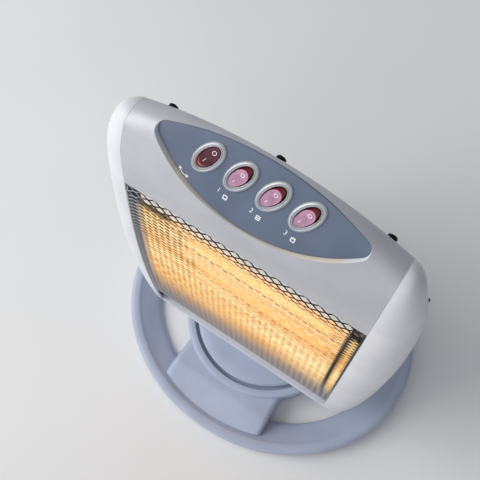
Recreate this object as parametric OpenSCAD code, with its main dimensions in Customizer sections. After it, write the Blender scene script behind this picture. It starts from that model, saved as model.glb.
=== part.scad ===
// Halogen heater on an oval stand. Millimetres, +Z up, front faces -Y.
// The origin is on the floor, on the axis about which the heater swings.

/* [Head] */
// Height of the switch row above the floor
switch_height = 445; // [400:1:520]
// Distance from the swing axis to each side seam
seam_x = 109; // [95:1:130]
// Height of the head's underside above the floor
head_bottom = 57; // [52:1:70]
// Radius of the head's rounded lower edge
lower_edge_r = 16; // [8:1:20]
// Distance in front of the swing axis to the belly of the front
belly_y = 58.5; // [50:0.5:70]
// Height of the belly of the front above the floor
belly_z = 85; // [75:1:120]
// Radius of the front's arc, seen from the side
front_r = 1420; // [1200:10:2000]
// Radius of the rounded crest at the seams
crest_r = 16.5; // [14:0.5:20]
// Distance of the crest's centre behind the switch row
crest_y = 3.5; // [0:0.5:6]
// Depth of the crest's centre below the switch row
crest_drop = 22; // [20:0.5:26]
// Distance behind the swing axis to the rear wall
rear_y = 46; // [40:1:60]
// Wall of the moulded covers
cover_wall = 2.2; // [1.6:0.1:2.6]
// How far the side covers swell out past the seams
side_swell = 38; // [28:1:45]
// Width of the hairline at each seam
seam_gap = 0.2; // [0.1:0.05:0.3]

/* [Crown] */
// How far the middle of the crown rises above the seams
crown_lift = 22; // [14:0.5:26]
// How far the middle of the front band stands out
crown_push = 10; // [4:0.5:14]
// Height of the centre cover's lower edge below the switch row
band_drop = 72.4; // [68:0.2:84]
// Slope of the control panel
panel_slope = 43; // [40:0.5:46]
// Thickness of the control panel
panel_t = 2; // [1.5:0.1:2.5]
// Radius of the panel's front edge
panel_front_r = 125; // [118:1:132]
// Radius of the panel's back edge
panel_back_r = 230; // [200:5:260]
// Radius of the panel's tips
panel_tip_r = 7; // [4:0.5:9]
// Reach of the panel in front of the switch row
panel_fore = 34.3; // [32:0.1:36]
// Reach of the panel behind the switch row
panel_aft = 21.3; // [19:0.1:22]

/* [Switches] */
// Distance between neighbouring switches
switch_pitch = 26; // [24:0.5:28]
// Sideways place of the middle of the switch row
switch_shift = -2; // [-4:0.5:4]
// Turn of each switch's long axis
switch_turn = 32; // [20:1:40]
// Length of a bezel
bezel_l = 30.2; // [28:0.1:32]
// Width of a bezel
bezel_w = 18.6; // [17:0.1:20]
// Height of a bezel above the panel
bezel_h = 2; // [1.5:0.1:2.5]
// Length of the opening in a bezel
opening_l = 21.8; // [20:0.1:24]
// Width of the opening in a bezel
opening_w = 11.3; // [10:0.1:13]
// Play between a rocker and its opening
rocker_play = 0.3; // [0.2:0.05:0.4]
// Tilt of a rocker to either side of level
rocker_tilt = 9; // [6:0.5:11]
// Depth of a switch's box under the panel
box_depth = 14; // [12:0.5:15]

/* [Grille and tubes] */
// Height of the grille's lower edge above the floor
grille_bottom = 72; // [66:1:84]
// Depth of the grille behind the covers' lips
grille_recess = 2.6; // [2:0.1:4]
// Width of one mesh gap from centre to centre
mesh_w = 18.1; // [17:0.1:24]
// Height of one mesh gap from centre to centre
mesh_h = 25; // [25:0.5:34]
// Width of a mesh strand
strand = 2.4; // [1.6:0.1:3]
// Thickness of the mesh sheet
mesh_t = 0.8; // [0.6:0.1:1.2]
// Outside diameter of a quartz tube
tube_d = 11; // [9:0.5:13]
// Distance between neighbouring tubes
tube_pitch = 92; // [84:1:96]
// Height of the middle tube above the floor
tube_mid_z = 222; // [216:1:228]
// Distance of the tubes in front of the swing axis
tube_y = 14; // [10:0.5:16]
// Distance of the reflector's troughs behind the swing axis
trough_y = 12; // [8:0.5:16]
// Depth of each trough of the reflector
trough_depth = 30; // [24:1:32]
// Thickness of the reflector sheet
reflector_t = 0.6; // [0.4:0.1:1]
// Distance from the swing axis to each chassis plate
chassis_x = 98; // [90:1:101]
// Thickness of the chassis plates and of the rear housing
sheet_t = 1.2; // [0.8:0.1:1.5]

/* [Stand] */
// Half the width of the stand
stand_a = 178; // [170:1:200]
// Half the depth of the stand
stand_b = 150.5; // [145:0.5:170]
// Width of the stand's ring
ring_w = 36; // [30:1:40]
// Height of the ring's rim above the floor
ring_top = 23; // [20:0.5:26]
// Thickness of the rubber feet
foot_t = 2.5; // [2:0.1:4]
// Wall of the stand
stand_wall = 2.5; // [2:0.1:3]
// Half the width of the bridge at the hub
bridge_w = 62; // [56:1:70]
// How much wider the bridge is on each side at the ring
bridge_flare = 7; // [0:0.5:10]
// Radius of the hub
hub_r = 97; // [92:1:104]
// Height of the hub's top above the floor
hub_top = 36; // [34:0.5:38]
// Radius of the turntable
turntable_r = 84; // [80:0.5:86]
// Width of the groove round the turntable
groove_w = 4; // [3:0.5:5]
// Radius of the neck under the head
neck_r = 46; // [42:1:50]
// Outside radius of the spindle
spindle_r = 10; // [8:0.5:11]
// Running clearance round turning shafts
running = 0.05; // [0.02:0.01:0.09]
// Half the sweep of the head
swing_half = 35; // [25:1:38]
// Distance from the swing axis to the motor's shaft
motor_y = 34; // [32:0.5:36]
// Diameter of the swing motor
motor_d = 44; // [40:1:46]
// Travel of the tip-over plunger
plunger_travel = 4; // [3:0.5:4.5]

/* [Hidden] */

shell_colour = [0.80, 0.81, 0.82];
cover_colour = [0.86, 0.85, 0.83];
panel_colour = [0.42, 0.47, 0.55];
stand_colour = [0.62, 0.66, 0.72];
steel_colour = [0.72, 0.73, 0.75];
black_colour = [0.10, 0.10, 0.11];
touch = 0.01;

// Heights that the head's curves start and end at
crest_z = switch_height - crest_drop;
blend_drop = 46;
blend_low = switch_height - blend_drop;
blend_angle = 143;
swell_zone = 200;
shoulder_drop = 130;
rear_shoulder = switch_height - shoulder_drop;
rear_hip = 145;
rear_tuck = 12;
band_z = switch_height - band_drop;
lip_z = band_z - 2;
floor_top = head_bottom + cover_wall;

// Front of the head at height z, off inside the outer surface
function arc_y(z) = -belly_y + pow(max(0, z - belly_z), 2) / (2 * front_r);
function arc_slope(z) = max(0, z - belly_z) / front_r;
function crest_point(off, a) =
  [crest_y + (crest_r - off) * cos(a), crest_z + (crest_r - off) * sin(a)];
function hermite(a, b, ma, mb, t) = (2 * t * t * t - 3 * t * t + 1) * a + (t * t * t - 2 * t * t + t) * ma
  + (3 * t * t - 2 * t * t * t) * b + (t * t * t - t * t) * mb;
function smooth(t) = t * t * (3 - 2 * t);
function clip(t) = min(1, max(0, t));
function edge_inset(z, off) = let(r = lower_edge_r - off, d = head_bottom + lower_edge_r - z)
  d <= 0 ? 0 : r - sqrt(max(0, r * r - d * d));
function blend_y(z, off) = let(top = crest_point(off, blend_angle), dz = top[1] - blend_low)
  hermite(arc_y(blend_low) + off, top[0], arc_slope(blend_low) * dz, dz / tan(blend_angle - 90),
    (z - blend_low) / dz);
function crest_half(z, off) = sqrt(max(0, pow(crest_r - off, 2) - pow(z - crest_z, 2)));
function front_y(z, off) = z <= blend_low ? arc_y(z) + off + edge_inset(z, off)
  : z < crest_point(off, blend_angle)[1] ? blend_y(z, off) : crest_y - crest_half(z, off);
function wall_y(z) = z >= rear_shoulder
  ? crest_y + crest_r + (rear_y - crest_y - crest_r) * smooth(clip((crest_z - z) / (crest_z - rear_shoulder)))
  : rear_y - rear_tuck * smooth(clip((rear_hip - z) / (rear_hip - head_bottom)));
function back_y(z, off) = z > crest_z ? crest_y + crest_half(z, off) : wall_y(z) - off - edge_inset(z, off);

// Heights of the rows that follow the head's side outline from its underside to the crest
function head_rows(off) = let(r = lower_edge_r - off, z0 = head_bottom + lower_edge_r,
    z2 = crest_point(off, blend_angle)[1]) concat(
  [for (a = [0 : 22.5 : 67.5]) z0 - r * cos(a)],
  [for (i = [0 : 11]) z0 + (blend_low - z0) * i / 12],
  [for (i = [0 : 3]) blend_low + (z2 - blend_low) * i / 4],
  [for (i = [0 : 7]) crest_z + (crest_r - off) * sin(blend_angle + (94 - blend_angle) * i / 7)]);

// How far a side cover stands out past the seam at height z: round below the crest, a little less at the foot
foot_zone = 123;
foot_share = 0.16;
swell_ease = 1.46;
swell_round = 0.356;
function swell(z) = let(d = clip((crest_z + crest_r - z) / swell_zone),
    foot = clip((head_bottom + foot_zone - z) / foot_zone))
  side_swell * (pow(1 - pow(1 - d, swell_ease), swell_round) - foot_share * pow(foot, 2));
function cover_swell(z, off) = max(swell(z) - off, 0.3 * swell(z)) - edge_inset(z, off);

// One row of a side cover: a section from the front lip to the rear lip, fuller in front than behind
front_power = 0.87;
rear_power = 1.18;
cover_steps = 14;
function cover_row(z, off, x0) =
  let(f = front_y(z, off), b = back_y(z, off), e = cover_swell(z, off) + seam_x - x0)
  [for (j = [0 : cover_steps]) let(a = 180 * j / cover_steps, c = cos(a), half = (b - f) / 2,
      power = c > 0 ? front_power : rear_power)
    [x0 + e * pow(max(0, sin(a)), power), f + half - half * sign(c) * pow(abs(c), power), z]];

// A closed solid through rows of points that all turn the same way
module row_solid(rows) {
  n = len(rows[0]);
  m = len(rows);
  points = [for (row = rows) for (p = row) p];
  sides = [for (i = [0 : m - 2]) for (j = [0 : n - 1]) let(k = (j + 1) % n)
    each [[i * n + j, (i + 1) * n + k, i * n + k], [i * n + j, (i + 1) * n + j, (i + 1) * n + k]]];
  low = [for (j = [0 : n - 1]) j];
  high = [for (j = [n - 1 : -1 : 0]) (m - 1) * n + j];
  polyhedron(points, concat(sides, [low, high]), convexity = 6);
}

// A closed wall between two open grids of points, outer and inner
module sheet_solid(outer, inner) {
  m = len(outer);
  n = len(outer[0]);
  k = m * n;
  points = concat([for (row = outer) each row], [for (row = inner) each row]);
  polyhedron(points, [
    for (i = [0 : m - 2]) for (j = [0 : n - 2]) let(a = i * n + j, b = a + n)
      each [[a, a + 1, b + 1], [a, b + 1, b], [k + a, k + b + 1, k + a + 1], [k + a, k + b, k + b + 1]],
    for (i = [0 : m - 2]) for (e = [[i * n, (i + 1) * n], [(i + 1) * n + n - 1, i * n + n - 1]])
      each [[e[0], k + e[1], k + e[0]], [e[0], e[1], k + e[1]]],
    for (j = [0 : n - 2]) for (e = [[j + 1, j], [(m - 1) * n + j, (m - 1) * n + j + 1]])
      each [[e[0], k + e[1], k + e[0]], [e[0], e[1], k + e[1]]]], convexity = 8);
}

module side_solid(off, x0) {
  row_solid([for (z = head_rows(off)) cover_row(z, off, x0)]);
}

// Seam outline of the centre cover, from its front edge over the crest to its rear edge
front_mid_drop = 25;
front_mid = switch_height - front_mid_drop;
function cover_front_rows(low) = concat(
  [for (i = [0 : 4]) low + (blend_low - low) * i / 5],
  [for (i = [0 : 3]) blend_low + (crest_point(0, blend_angle)[1] - blend_low) * i / 4]);
function cover_seam(off, low) = concat(
  [for (z = cover_front_rows(low)) [front_y(z, off), z]],
  [for (a = [blend_angle : -13 : 13]) crest_point(off, a)],
  [for (i = [0 : 6]) let(z = crest_z + (low - crest_z) * i / 6) [back_y(z, off), z]]);

// How far the crown carries a seam point at mid-width: [back, up, sharpness, forward]
function crown_move(p) = p[1] < front_mid && p[0] < crest_y
    ? [0, 0, 1, crown_push * pow(clip((p[1] - band_z) / (front_mid - band_z)), 1.5)]
  : p[0] < crest_y ? let(s = clip((p[1] - front_mid) / (crest_z + crest_r - front_mid)))
      [2 * smooth(s), crown_lift * smooth(s), 1 - s, crown_push * (1 - smooth(s))]
  : p[1] > crest_z ? let(s = (p[0] - crest_y) / crest_r) [2 + 2 * s, crown_lift - 2 * s, 0, 0]
  : let(s = 1 - smooth(clip((crest_z - p[1]) / (crest_z - band_z)))) [4 * s, (crown_lift - 2) * s, 0, 0];
crown_flat = 3;
function crown_section(x, off, low) =
  let(share = max(0, 1 - pow(x / seam_x, 2)), flat = max(0, 1 - pow(abs(x) / seam_x, crown_flat)))
  [for (p = cover_seam(off, low)) let(m = crown_move(p), c = pow(share, 1 + m[2]))
    [x, p[0] + c * m[0] - flat * m[3], p[1] + c * m[1]]];
crown_steps = 16;
module crown_shell() {
  half = seam_x - seam_gap;
  xs = [for (i = [0 : crown_steps]) half * (2 * i / crown_steps - 1)];
  sheet_solid([for (x = xs) crown_section(x, 0, lip_z)],
    [for (x = xs) crown_section(x, cover_wall, lip_z)]);
}

// Lines up what is drawn flat with the control panel's face
module on_panel() {
  translate([0, 0, switch_height]) rotate([panel_slope, 0, 0]) children();
}

// Outline of the leaf-shaped panel: a front arc, a back arc and two rounded tips
leaf_fc = panel_front_r - panel_fore;
leaf_bc = panel_aft - panel_back_r;
leaf_f = panel_front_r - panel_tip_r;
leaf_b = panel_back_r - panel_tip_r;
leaf_ty = (pow(leaf_fc, 2) - pow(leaf_bc, 2) + pow(leaf_b, 2) - pow(leaf_f, 2)) / (2 * (leaf_fc - leaf_bc));
leaf_tx = sqrt(leaf_f * leaf_f - pow(leaf_ty - leaf_fc, 2));
leaf_fa = atan2(leaf_ty - leaf_fc, leaf_tx);
leaf_ba = atan2(leaf_ty - leaf_bc, leaf_tx);
function leaf_outline(grow) = concat(
  [for (i = [0 : 14]) let(a = -180 - leaf_fa + (180 + 2 * leaf_fa) * i / 14)
    [0, leaf_fc] + (panel_front_r + grow) * [cos(a), sin(a)]],
  [for (i = [1 : 3]) let(a = leaf_fa + (leaf_ba - leaf_fa) * i / 4)
    [leaf_tx, leaf_ty] + (panel_tip_r + grow) * [cos(a), sin(a)]],
  [for (i = [0 : 14]) let(a = leaf_ba + (180 - 2 * leaf_ba) * i / 14)
    [0, leaf_bc] + (panel_back_r + grow) * [cos(a), sin(a)]],
  [for (i = [1 : 3]) let(a = 180 - leaf_ba + (leaf_ba - leaf_fa) * i / 4)
    [-leaf_tx, leaf_ty] + (panel_tip_r + grow) * [cos(a), sin(a)]]);

// Puts its children at switch i, the long axis along their own Y
function switch_x(i) = switch_shift + (i - 1.5) * switch_pitch;
module at_switch(i) {
  on_panel() translate([switch_x(i), 0, 0]) rotate(-switch_turn) children();
}
module oval(l, w) {
  polygon([for (a = [0 : 10 : 350]) [w / 2 * cos(a), l / 2 * sin(a)]]);
}
box_l = bezel_l - 5;
box_w = bezel_w - 4;
box_play = 0.2;
slot_play = 0.6;
module switch_slot() {
  r = box_w / 2 + box_play;
  reach = box_l / 2 + slot_play - r;
  for (m = [-1, 1]) translate([0, m * reach]) circle(r = r, $fn = 40);
  square([2 * r, 2 * reach], center = true);
}
pivot_drop = 2.2;
pivot_n = bezel_h - pivot_drop;
trunnion_r = 1.2;
trunnion_l = 0.8;

module switch_cutouts(n0, n1) {
  for (i = [0 : 3]) at_switch(i) translate([0, 0, n0]) linear_extrude(n1 - n0)
    oval(box_l + 2 * box_play, box_w + 2 * box_play);
}

// The pocket's floor and its rim: the panel's seat, tied into the shell at the front and at the back
pocket_floor = 2;
rim_high = 2;
rim_reach = 4;
rim_under = 0.8;
module pocket_seat() {
  half = seam_x - seam_gap;
  intersection() {
    on_panel() translate([0, 0, -panel_t - pocket_floor]) linear_extrude(panel_t + pocket_floor + rim_high)
      intersection() {
        translate([0, leaf_fc]) circle(r = panel_front_r + rim_reach, $fn = 120);
        translate([0, leaf_bc]) circle(r = panel_back_r - 1.7, $fn = 180);
      }
    row_solid([for (i = [0 : crown_steps])
      crown_section(half * (1 - 2 * i / crown_steps), rim_under, lip_z)]);
  }
}
module top_cover() {
  screw_hole = 1.8;
  color(shell_colour) difference() {
    union() {
      crown_shell();
      pocket_seat();
    }
    on_panel() translate([0, 0, -panel_t]) linear_extrude(crown_lift + 20) polygon(leaf_outline(0));
    for (i = [0 : 3]) at_switch(i) translate([0, 0, -panel_t - pocket_floor - 1])
      linear_extrude(panel_t + pocket_floor) switch_slot();
    for (s = rear_screw_places) translate([s[0], s[1] + 3, s[2]]) rotate([90, 0, 0])
      cylinder(r = screw_hole, h = 12, $fn = 24);
  }
}

module control_panel() {
  edge_play = 0.15;
  color(panel_colour) difference() {
    on_panel() translate([0, 0, -panel_t]) linear_extrude(panel_t) polygon(leaf_outline(-edge_play));
    switch_cutouts(-panel_t - 1, 1);
  }
}

module switch_housings() {
  skin = 1.2;
  color(shell_colour) for (i = [0 : 3]) at_switch(i) difference() {
    union() {
      linear_extrude(bezel_h) oval(bezel_l, bezel_w);
      translate([0, 0, -box_depth]) linear_extrude(box_depth + touch) oval(box_l, box_w);
    }
    translate([0, 0, -box_depth + skin]) linear_extrude(box_depth + bezel_h) oval(opening_l, opening_w);
    pivot_pin(trunnion_r + running, trunnion_l + 2 * running);
  }
}

// The line that a rocker turns about: a pin that ends a given reach past the rocker's sides
module pivot_pin(r, reach) {
  half = opening_w / 2 - rocker_play + reach;
  translate([-half, 0, pivot_n]) rotate([0, 90, 0]) cylinder(r = r, h = 2 * half, $fn = 40);
}

module switch_terminals() {
  blade = [0.8, 4.8, 6];
  color(steel_colour) for (i = [0 : 3]) at_switch(i)
    for (y = i == 0 ? [-4, 4] : [-6.5, 0, 6.5])
      translate([-blade[0] / 2, y - blade[1] / 2, -box_depth - blade[2]])
      cube(blade);
}

// A rocker: two faces that meet in a shallow V, inside a round body that turns in its opening
module rocker(i, tilt) {
  l = opening_l / 2 - rocker_play;
  w = opening_w / 2 - rocker_play;
  dip = 2;
  keel = 5;
  rise = dip + l * tan(rocker_tilt);
  at_switch(i) {
    translate([0, 0, pivot_n]) rotate([tilt, 0, 0]) intersection() {
      rotate([0, 90, 0]) rotate_extrude($fn = 64)
        polygon([for (a = [-90 : 7.5 : 90]) [l * cos(a), w * sin(a)]]);
      rotate([90, 0, 90]) translate([0, 0, -w]) linear_extrude(2 * w)
        polygon([[-l, rise], [-l, -2], [-l / 2, -keel], [l / 2, -keel], [l, -2], [l, rise], [0, dip]]);
    }
    pivot_pin(trunnion_r, trunnion_l);
  }
}
module rocker_swing() {
  color([0.75, 0.10, 0.14]) rocker(0, -rocker_tilt);
}
module rocker_heat_1() {
  color([0.95, 0.30, 0.36]) rocker(1, rocker_tilt);
}
module rocker_heat_2() {
  color([0.95, 0.30, 0.36]) rocker(2, rocker_tilt);
}
module rocker_heat_3() {
  color([0.95, 0.30, 0.36]) rocker(3, rocker_tilt);
}

// Black pan-head screws behind the crown
rear_screw_in = 20;
rear_screw_r = 3.8;
rear_screw_h = 2.7;
rear_screw_gap = 0.45;
function rear_screw_place(x) = let(c = max(0, 1 - pow(x / seam_x, 2)))
  [x, crest_y + crest_r + 4 * c, crest_z + (crown_lift - 2) * c];
rear_screw_places = [for (m = [-1 : 1]) rear_screw_place(m * (seam_x - rear_screw_in))];
module rear_screws() {
  color(black_colour) for (p = rear_screw_places) translate(p + [0, rear_screw_gap + rear_screw_h, 0])
    rotate([90, 0, 0]) {
      cylinder(r1 = rear_screw_r - 0.9, r2 = rear_screw_r, h = 1, $fn = 32);
      translate([0, 0, 1 - touch]) cylinder(r = rear_screw_r, h = rear_screw_h - 1, $fn = 32);
      cylinder(r = 1.5, h = 9, $fn = 24);
    }
}

// Side covers, with bosses that reach the chassis plates
boss_r = 4.2;
side_screw_r = 1.6;
side_recess_r = 4.6;
side_screw_places = [[band_z - 9.6, crest_y + 13.5], [grille_bottom + 40, crest_y - 7.5]];
boss_end = chassis_x + sheet_t;
module side_cover() {
  difference() {
    union() {
      difference() {
        side_solid(0, seam_x);
        difference() {
          side_solid(cover_wall, seam_x - 0.5);
          for (p = side_screw_places) translate([seam_x - 5, p[1], p[0]]) rotate([0, 90, 0])
            cylinder(r = boss_r + 2, h = side_swell + 10, $fn = 32);
        }
      }
      for (p = side_screw_places) translate([boss_end, p[1], p[0]]) rotate([0, 90, 0])
        cylinder(r = boss_r, h = seam_x - boss_end + 2, $fn = 32);
    }
    for (p = side_screw_places) {
      translate([boss_end - 1, p[1], p[0]]) rotate([0, 90, 0])
        cylinder(r = side_screw_r + 0.2, h = side_swell + 20, $fn = 24);
      translate([seam_x + cover_swell(p[0], 0) - side_seat, p[1], p[0]]) rotate([0, 90, 0])
        cylinder(r = side_recess_r, h = 20, $fn = 32);
    }
  }
}
side_seat = 7;
module side_cover_right() {
  color(cover_colour) side_cover();
}
module side_cover_left() {
  color(cover_colour) mirror([1, 0, 0]) side_cover();
}
module side_screws() {
  color(black_colour) for (m = [0, 1]) mirror([m, 0, 0]) for (p = side_screw_places) {
    seat = seam_x + cover_swell(p[0], 0) - side_seat;
    translate([seat, p[1], p[0]]) rotate([0, 90, 0]) cylinder(r1 = 3.6, r2 = 3, h = 2, $fn = 32);
    translate([chassis_x - 3, p[1], p[0]]) rotate([0, 90, 0])
      cylinder(r = side_screw_r, h = seat - chassis_x + 4, $fn = 24);
  }
}

// What is drawn in the (y, z) plane, carried along X about the middle
module along_x(half) {
  translate([-half, 0, 0]) rotate([90, 0, 90]) linear_extrude(2 * half) children();
}
function rows_between(low, high, n) = [for (i = [0 : n]) low + (high - low) * i / n];

module bottom_cover() {
  top = grille_bottom - 0.2;
  outer = concat([for (a = [0 : 15 : 75]) let(z = head_bottom + lower_edge_r * (1 - cos(a)))
    if (z < top - 1) z], [top]);
  inner = concat([floor_top], [for (z = outer) if (z > floor_top + 0.3) z]);
  n = len(outer) - 1;
  m = len(inner) - 1;
  color(cover_colour) difference() {
    along_x(seam_x - seam_gap) polygon(concat(
      [for (i = [n : -1 : 0]) [front_y(outer[i], 0), outer[i]]], [for (z = outer) [back_y(z, 0), z]],
      [for (i = [m : -1 : 0]) [back_y(inner[i], cover_wall), inner[i]]],
      [for (z = inner) [front_y(z, cover_wall), z]]));
    translate([0, 0, head_bottom - 1]) cylinder(r = nut_r + 4, h = cover_wall + 2, $fn = 48);
    for (p = neck_screw_places) translate([p[0], p[1], head_bottom - 1])
      cylinder(r = neck_screw_r + 0.2, h = cover_wall + 2, $fn = 24);
  }
}

// Chassis plates carry the tubes, the reflector, the grille and the rear housing
plate_gap = 4;
plate_toe = 17;
plate_heel = 17;
plate_play = 0.2;
foot_play = 0.6;
tube_places = [for (i = [-1 : 1]) tube_mid_z + i * tube_pitch];
cap_r = 8;
module plate_hole(y, z, r) {
  translate([chassis_x - 1, y, z]) rotate([0, 90, 0]) cylinder(r = r, h = sheet_t + 2, $fn = 48);
}
module chassis_plate() {
  wire_hole_r = 6;
  wire_hole_y = rear_y - 24;
  rows = rows_between(floor_top + 6, lip_z, 24);
  difference() {
    translate([chassis_x, 0, 0]) rotate([90, 0, 90]) linear_extrude(sheet_t) polygon(concat(
      [[front_y(rows[0], 0) + plate_toe, floor_top + plate_play],
        [wall_y(rows[0]) - plate_heel, floor_top + plate_play]],
      [for (z = rows) [back_y(z, z < grille_bottom ? cover_wall + foot_play : sheet_t + plate_play), z]],
      [for (i = [24 : -1 : 0]) [front_y(rows[i], 0) + plate_gap, rows[i]]]));
    for (z = tube_places) plate_hole(-tube_y, z, cap_r + 0.3);
    for (p = side_screw_places) plate_hole(p[1], p[0], side_screw_r + 0.1);
    for (z = tube_places) plate_hole(wire_hole_y, z, wire_hole_r);
  }
}
module chassis_right() {
  color(steel_colour) chassis_plate();
}
module chassis_left() {
  color(steel_colour) mirror([1, 0, 0]) chassis_plate();
}

// Reflector: one trough behind each tube
function trough_line(off) = [for (k = [0 : 2]) for (i = [k == 0 ? 0 : 1 : 12]) let(t = i / 6 - 1)
  [trough_y - off - trough_depth * t * t, tube_places[k] + t * tube_pitch / 2]];
module reflector() {
  front = trough_line(reflector_t);
  back = trough_line(0);
  n = len(front);
  color([0.95, 0.85, 0.60]) difference() {
    along_x(chassis_x - 0.1) polygon(concat(back, [for (i = [n - 1 : -1 : 0]) front[i]]));
    for (z = tube_places) for (m = [-1, 1]) translate([m * chassis_x, -tube_y, z])
      rotate([0, 90, 0]) cylinder(r = cap_r + 1, h = 12, center = true, $fn = 48);
  }
}

module quartz_tubes() {
  bore = tube_d / 2 - 1.1;
  color([1, 0.85, 0.6, 0.5]) for (z = tube_places) translate([-chassis_x + 1, -tube_y, z]) rotate([0, 90, 0])
    difference() {
      cylinder(r = tube_d / 2, h = 2 * chassis_x - 2, $fn = 48);
      translate([0, 0, -1]) cylinder(r = bore, h = 2 * chassis_x, $fn = 48);
    }
}
module filaments() {
  wire_end = 2;
  supports = 7;
  color([1, 0.7, 0.3]) for (z = tube_places) translate([-chassis_x - wire_end, -tube_y, z]) rotate([0, 90, 0]) {
    cylinder(r = 1.4, h = 2 * (chassis_x + wire_end), $fn = 24);
    for (i = [1 : supports - 1]) translate([0, 0, 2 * (chassis_x + wire_end) * i / supports - 0.5])
      cylinder(r = tube_d / 2 - 1.3, h = 1, $fn = 32);
  }
}
module tube_caps() {
  cap_l = 15;
  color([0.93, 0.91, 0.86]) for (m = [0, 1]) mirror([m, 0, 0]) for (z = tube_places)
    translate([chassis_x - 4, -tube_y, z]) rotate([0, 90, 0]) difference() {
      cylinder(r = cap_r, h = cap_l, $fn = 48);
      translate([0, 0, -1]) cylinder(r = tube_d / 2 + 0.1, h = 5, $fn = 48);
      translate([0, 0, 3]) cylinder(r = 1.6, h = cap_l, $fn = 24);
    }
}

// Grille: an expanded sheet in flat strips that follow the front's arc
grille_strips = 4;
module mesh_strip(i) {
  high = band_z - grille_bottom;
  z0 = grille_bottom + high * i / grille_strips;
  z1 = grille_bottom + high * (i + 1) / grille_strips;
  y0 = front_y(z0, 0) + grille_recess;
  y1 = front_y(z1, 0) + grille_recess;
  tall = norm([y1 - y0, z1 - z0]);
  half = seam_x - 0.4;
  border = 4;
  rows = max(1, floor(2 * tall / mesh_h) - 1);
  pitch = 2 * tall / (rows + 1);
  cols = floor(2 * (half - border / 2) / mesh_w);
  hole_w = mesh_w - strand * 1.2;
  hole_h = pitch - strand * 1.9;
  translate([0, y0, z0]) rotate([atan2(z1 - z0, y1 - y0), 0, 0]) translate([0, 0, -mesh_t])
    linear_extrude(mesh_t) difference() {
      translate([-half, 0]) square([2 * half, tall - 0.05]);
      for (r = [1 : rows]) for (c = [0 : cols - (r % 2)])
        let(x = (c - (cols - (r % 2)) / 2) * mesh_w)
          if (abs(x) + hole_w / 2 < half - border / 3)
            translate([x, r * pitch / 2]) mesh_hole(hole_w / 2, hole_h / 2);
    }
}
module mesh_hole(w, h) {
  polygon([[-w, 0], [0, -h], [w, 0], [0, h]]);
}
module grille_mesh() {
  color(black_colour) for (i = [0 : grille_strips - 1]) mesh_strip(i);
}

// Rear housing with rows of air slots
housing_low = grille_bottom;
slot_w = 5;
slot_l = 40;
slot_pitch = 14;
slot_columns = [-64, 0, 64];
slot_rows = concat([for (i = [0 : 5]) housing_low + 38 + i * slot_pitch],
  [for (i = [0 : 6]) lip_z - 24.6 - i * slot_pitch]);
module rear_housing() {
  rows = rows_between(housing_low, lip_z, 26);
  color(shell_colour) difference() {
    along_x(seam_x - seam_gap) polygon(concat([for (z = rows) [back_y(z, 0), z]],
      [for (i = [26 : -1 : 0]) [back_y(rows[i], sheet_t), rows[i]]]));
    for (z = slot_rows) for (x = slot_columns) translate([x, rear_y + 5, z]) rotate([90, 0, 0])
      linear_extrude(30) union() {
        square([slot_l, slot_w], center = true);
        for (m = [-1, 1]) translate([m * slot_l / 2, 0]) circle(d = slot_w, $fn = 24);
      }
  }
}
// The housing's screws sit on its flat stretch, between the hip and the shoulder
screw_low = rear_hip + 10;
screw_high = rear_shoulder - 8;
housing_screw_places = [for (m = [-1, 1]) for (i = [0 : 2])
  [m * (chassis_x - 4), screw_low + (screw_high - screw_low) * i / 2]];
module housing_screws() {
  screw_gap = 0.3;
  color(black_colour) for (p = housing_screw_places) translate([p[0], rear_y + screw_gap, p[1]])
    rotate([-90, 0, 0]) cylinder(r1 = 3.4, r2 = 2.6, h = 1.6, $fn = 32);
}

// Electrical parts behind the reflector
module thermal_cutout() {
  color([0.85, 0.83, 0.78]) translate([30, trough_y + 0.1, tube_mid_z]) rotate([-90, 0, 0]) {
    cylinder(d = 16, h = 8, $fn = 40);
    for (m = [-1, 1]) translate([m * 4 - 0.4, -3, 8 - touch]) cube([0.8, 6, 7]);
  }
}
block_size = [36, 16, 12];
block_x = 12 - chassis_x;
block_y = -3;
module terminal_block() {
  way_pitch = 11;
  color([0.90, 0.89, 0.85]) difference() {
    translate([block_x, block_y, floor_top]) cube(block_size);
    for (i = [0 : 2]) translate([block_x + 7 + way_pitch * i, block_y + block_size[1] / 2, floor_top + 5])
      cylinder(r = 2, h = 10, $fn = 24);
  }
}

// Wiring loom: a round sleeve swept along a smooth route from the terminal block up the back of the head
loom_x = block_x + block_size[0] / 2;
loom_y = block_y + block_size[1] / 2;
loom_low = floor_top + block_size[2] + 0.3;
loom_mid = rear_y - 12;
function loom_z(share) = loom_low + (band_z - loom_low) * share;
loom_route = [[loom_x, loom_y, loom_low], [loom_x, loom_y, loom_low + 4], [loom_x, loom_y + 1, loom_low + 8],
  [loom_x + 8, loom_mid - 12, loom_z(0.11)], [-24, loom_mid, loom_z(0.28)], [-20, loom_mid, loom_z(0.5)],
  [-20, loom_mid, loom_z(0.7)], [-16, loom_mid - 2, loom_z(0.86)], [-8, loom_mid - 12, band_z - 0.6],
  [-2, crest_y + 8.5, band_z + 25.4], [0, crest_y + 5.5, band_z + 37.4]];
loom_r = 3.4;
loom_rings = 3;
function spline(p, i, t) =
  let(n = len(p) - 1, a = p[max(0, i - 1)], b = p[i], c = p[i + 1], d = p[min(n, i + 2)])
  0.5 * (2 * b + (c - a) * t + (2 * a - 5 * b + 4 * c - d) * t * t + (3 * b - a - 3 * c + d) * t * t * t);
loom_line = concat([for (i = [0 : len(loom_route) - 2]) for (k = [0 : loom_rings - 1])
  spline(loom_route, i, k / loom_rings)], [loom_route[len(loom_route) - 1]]);
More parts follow.
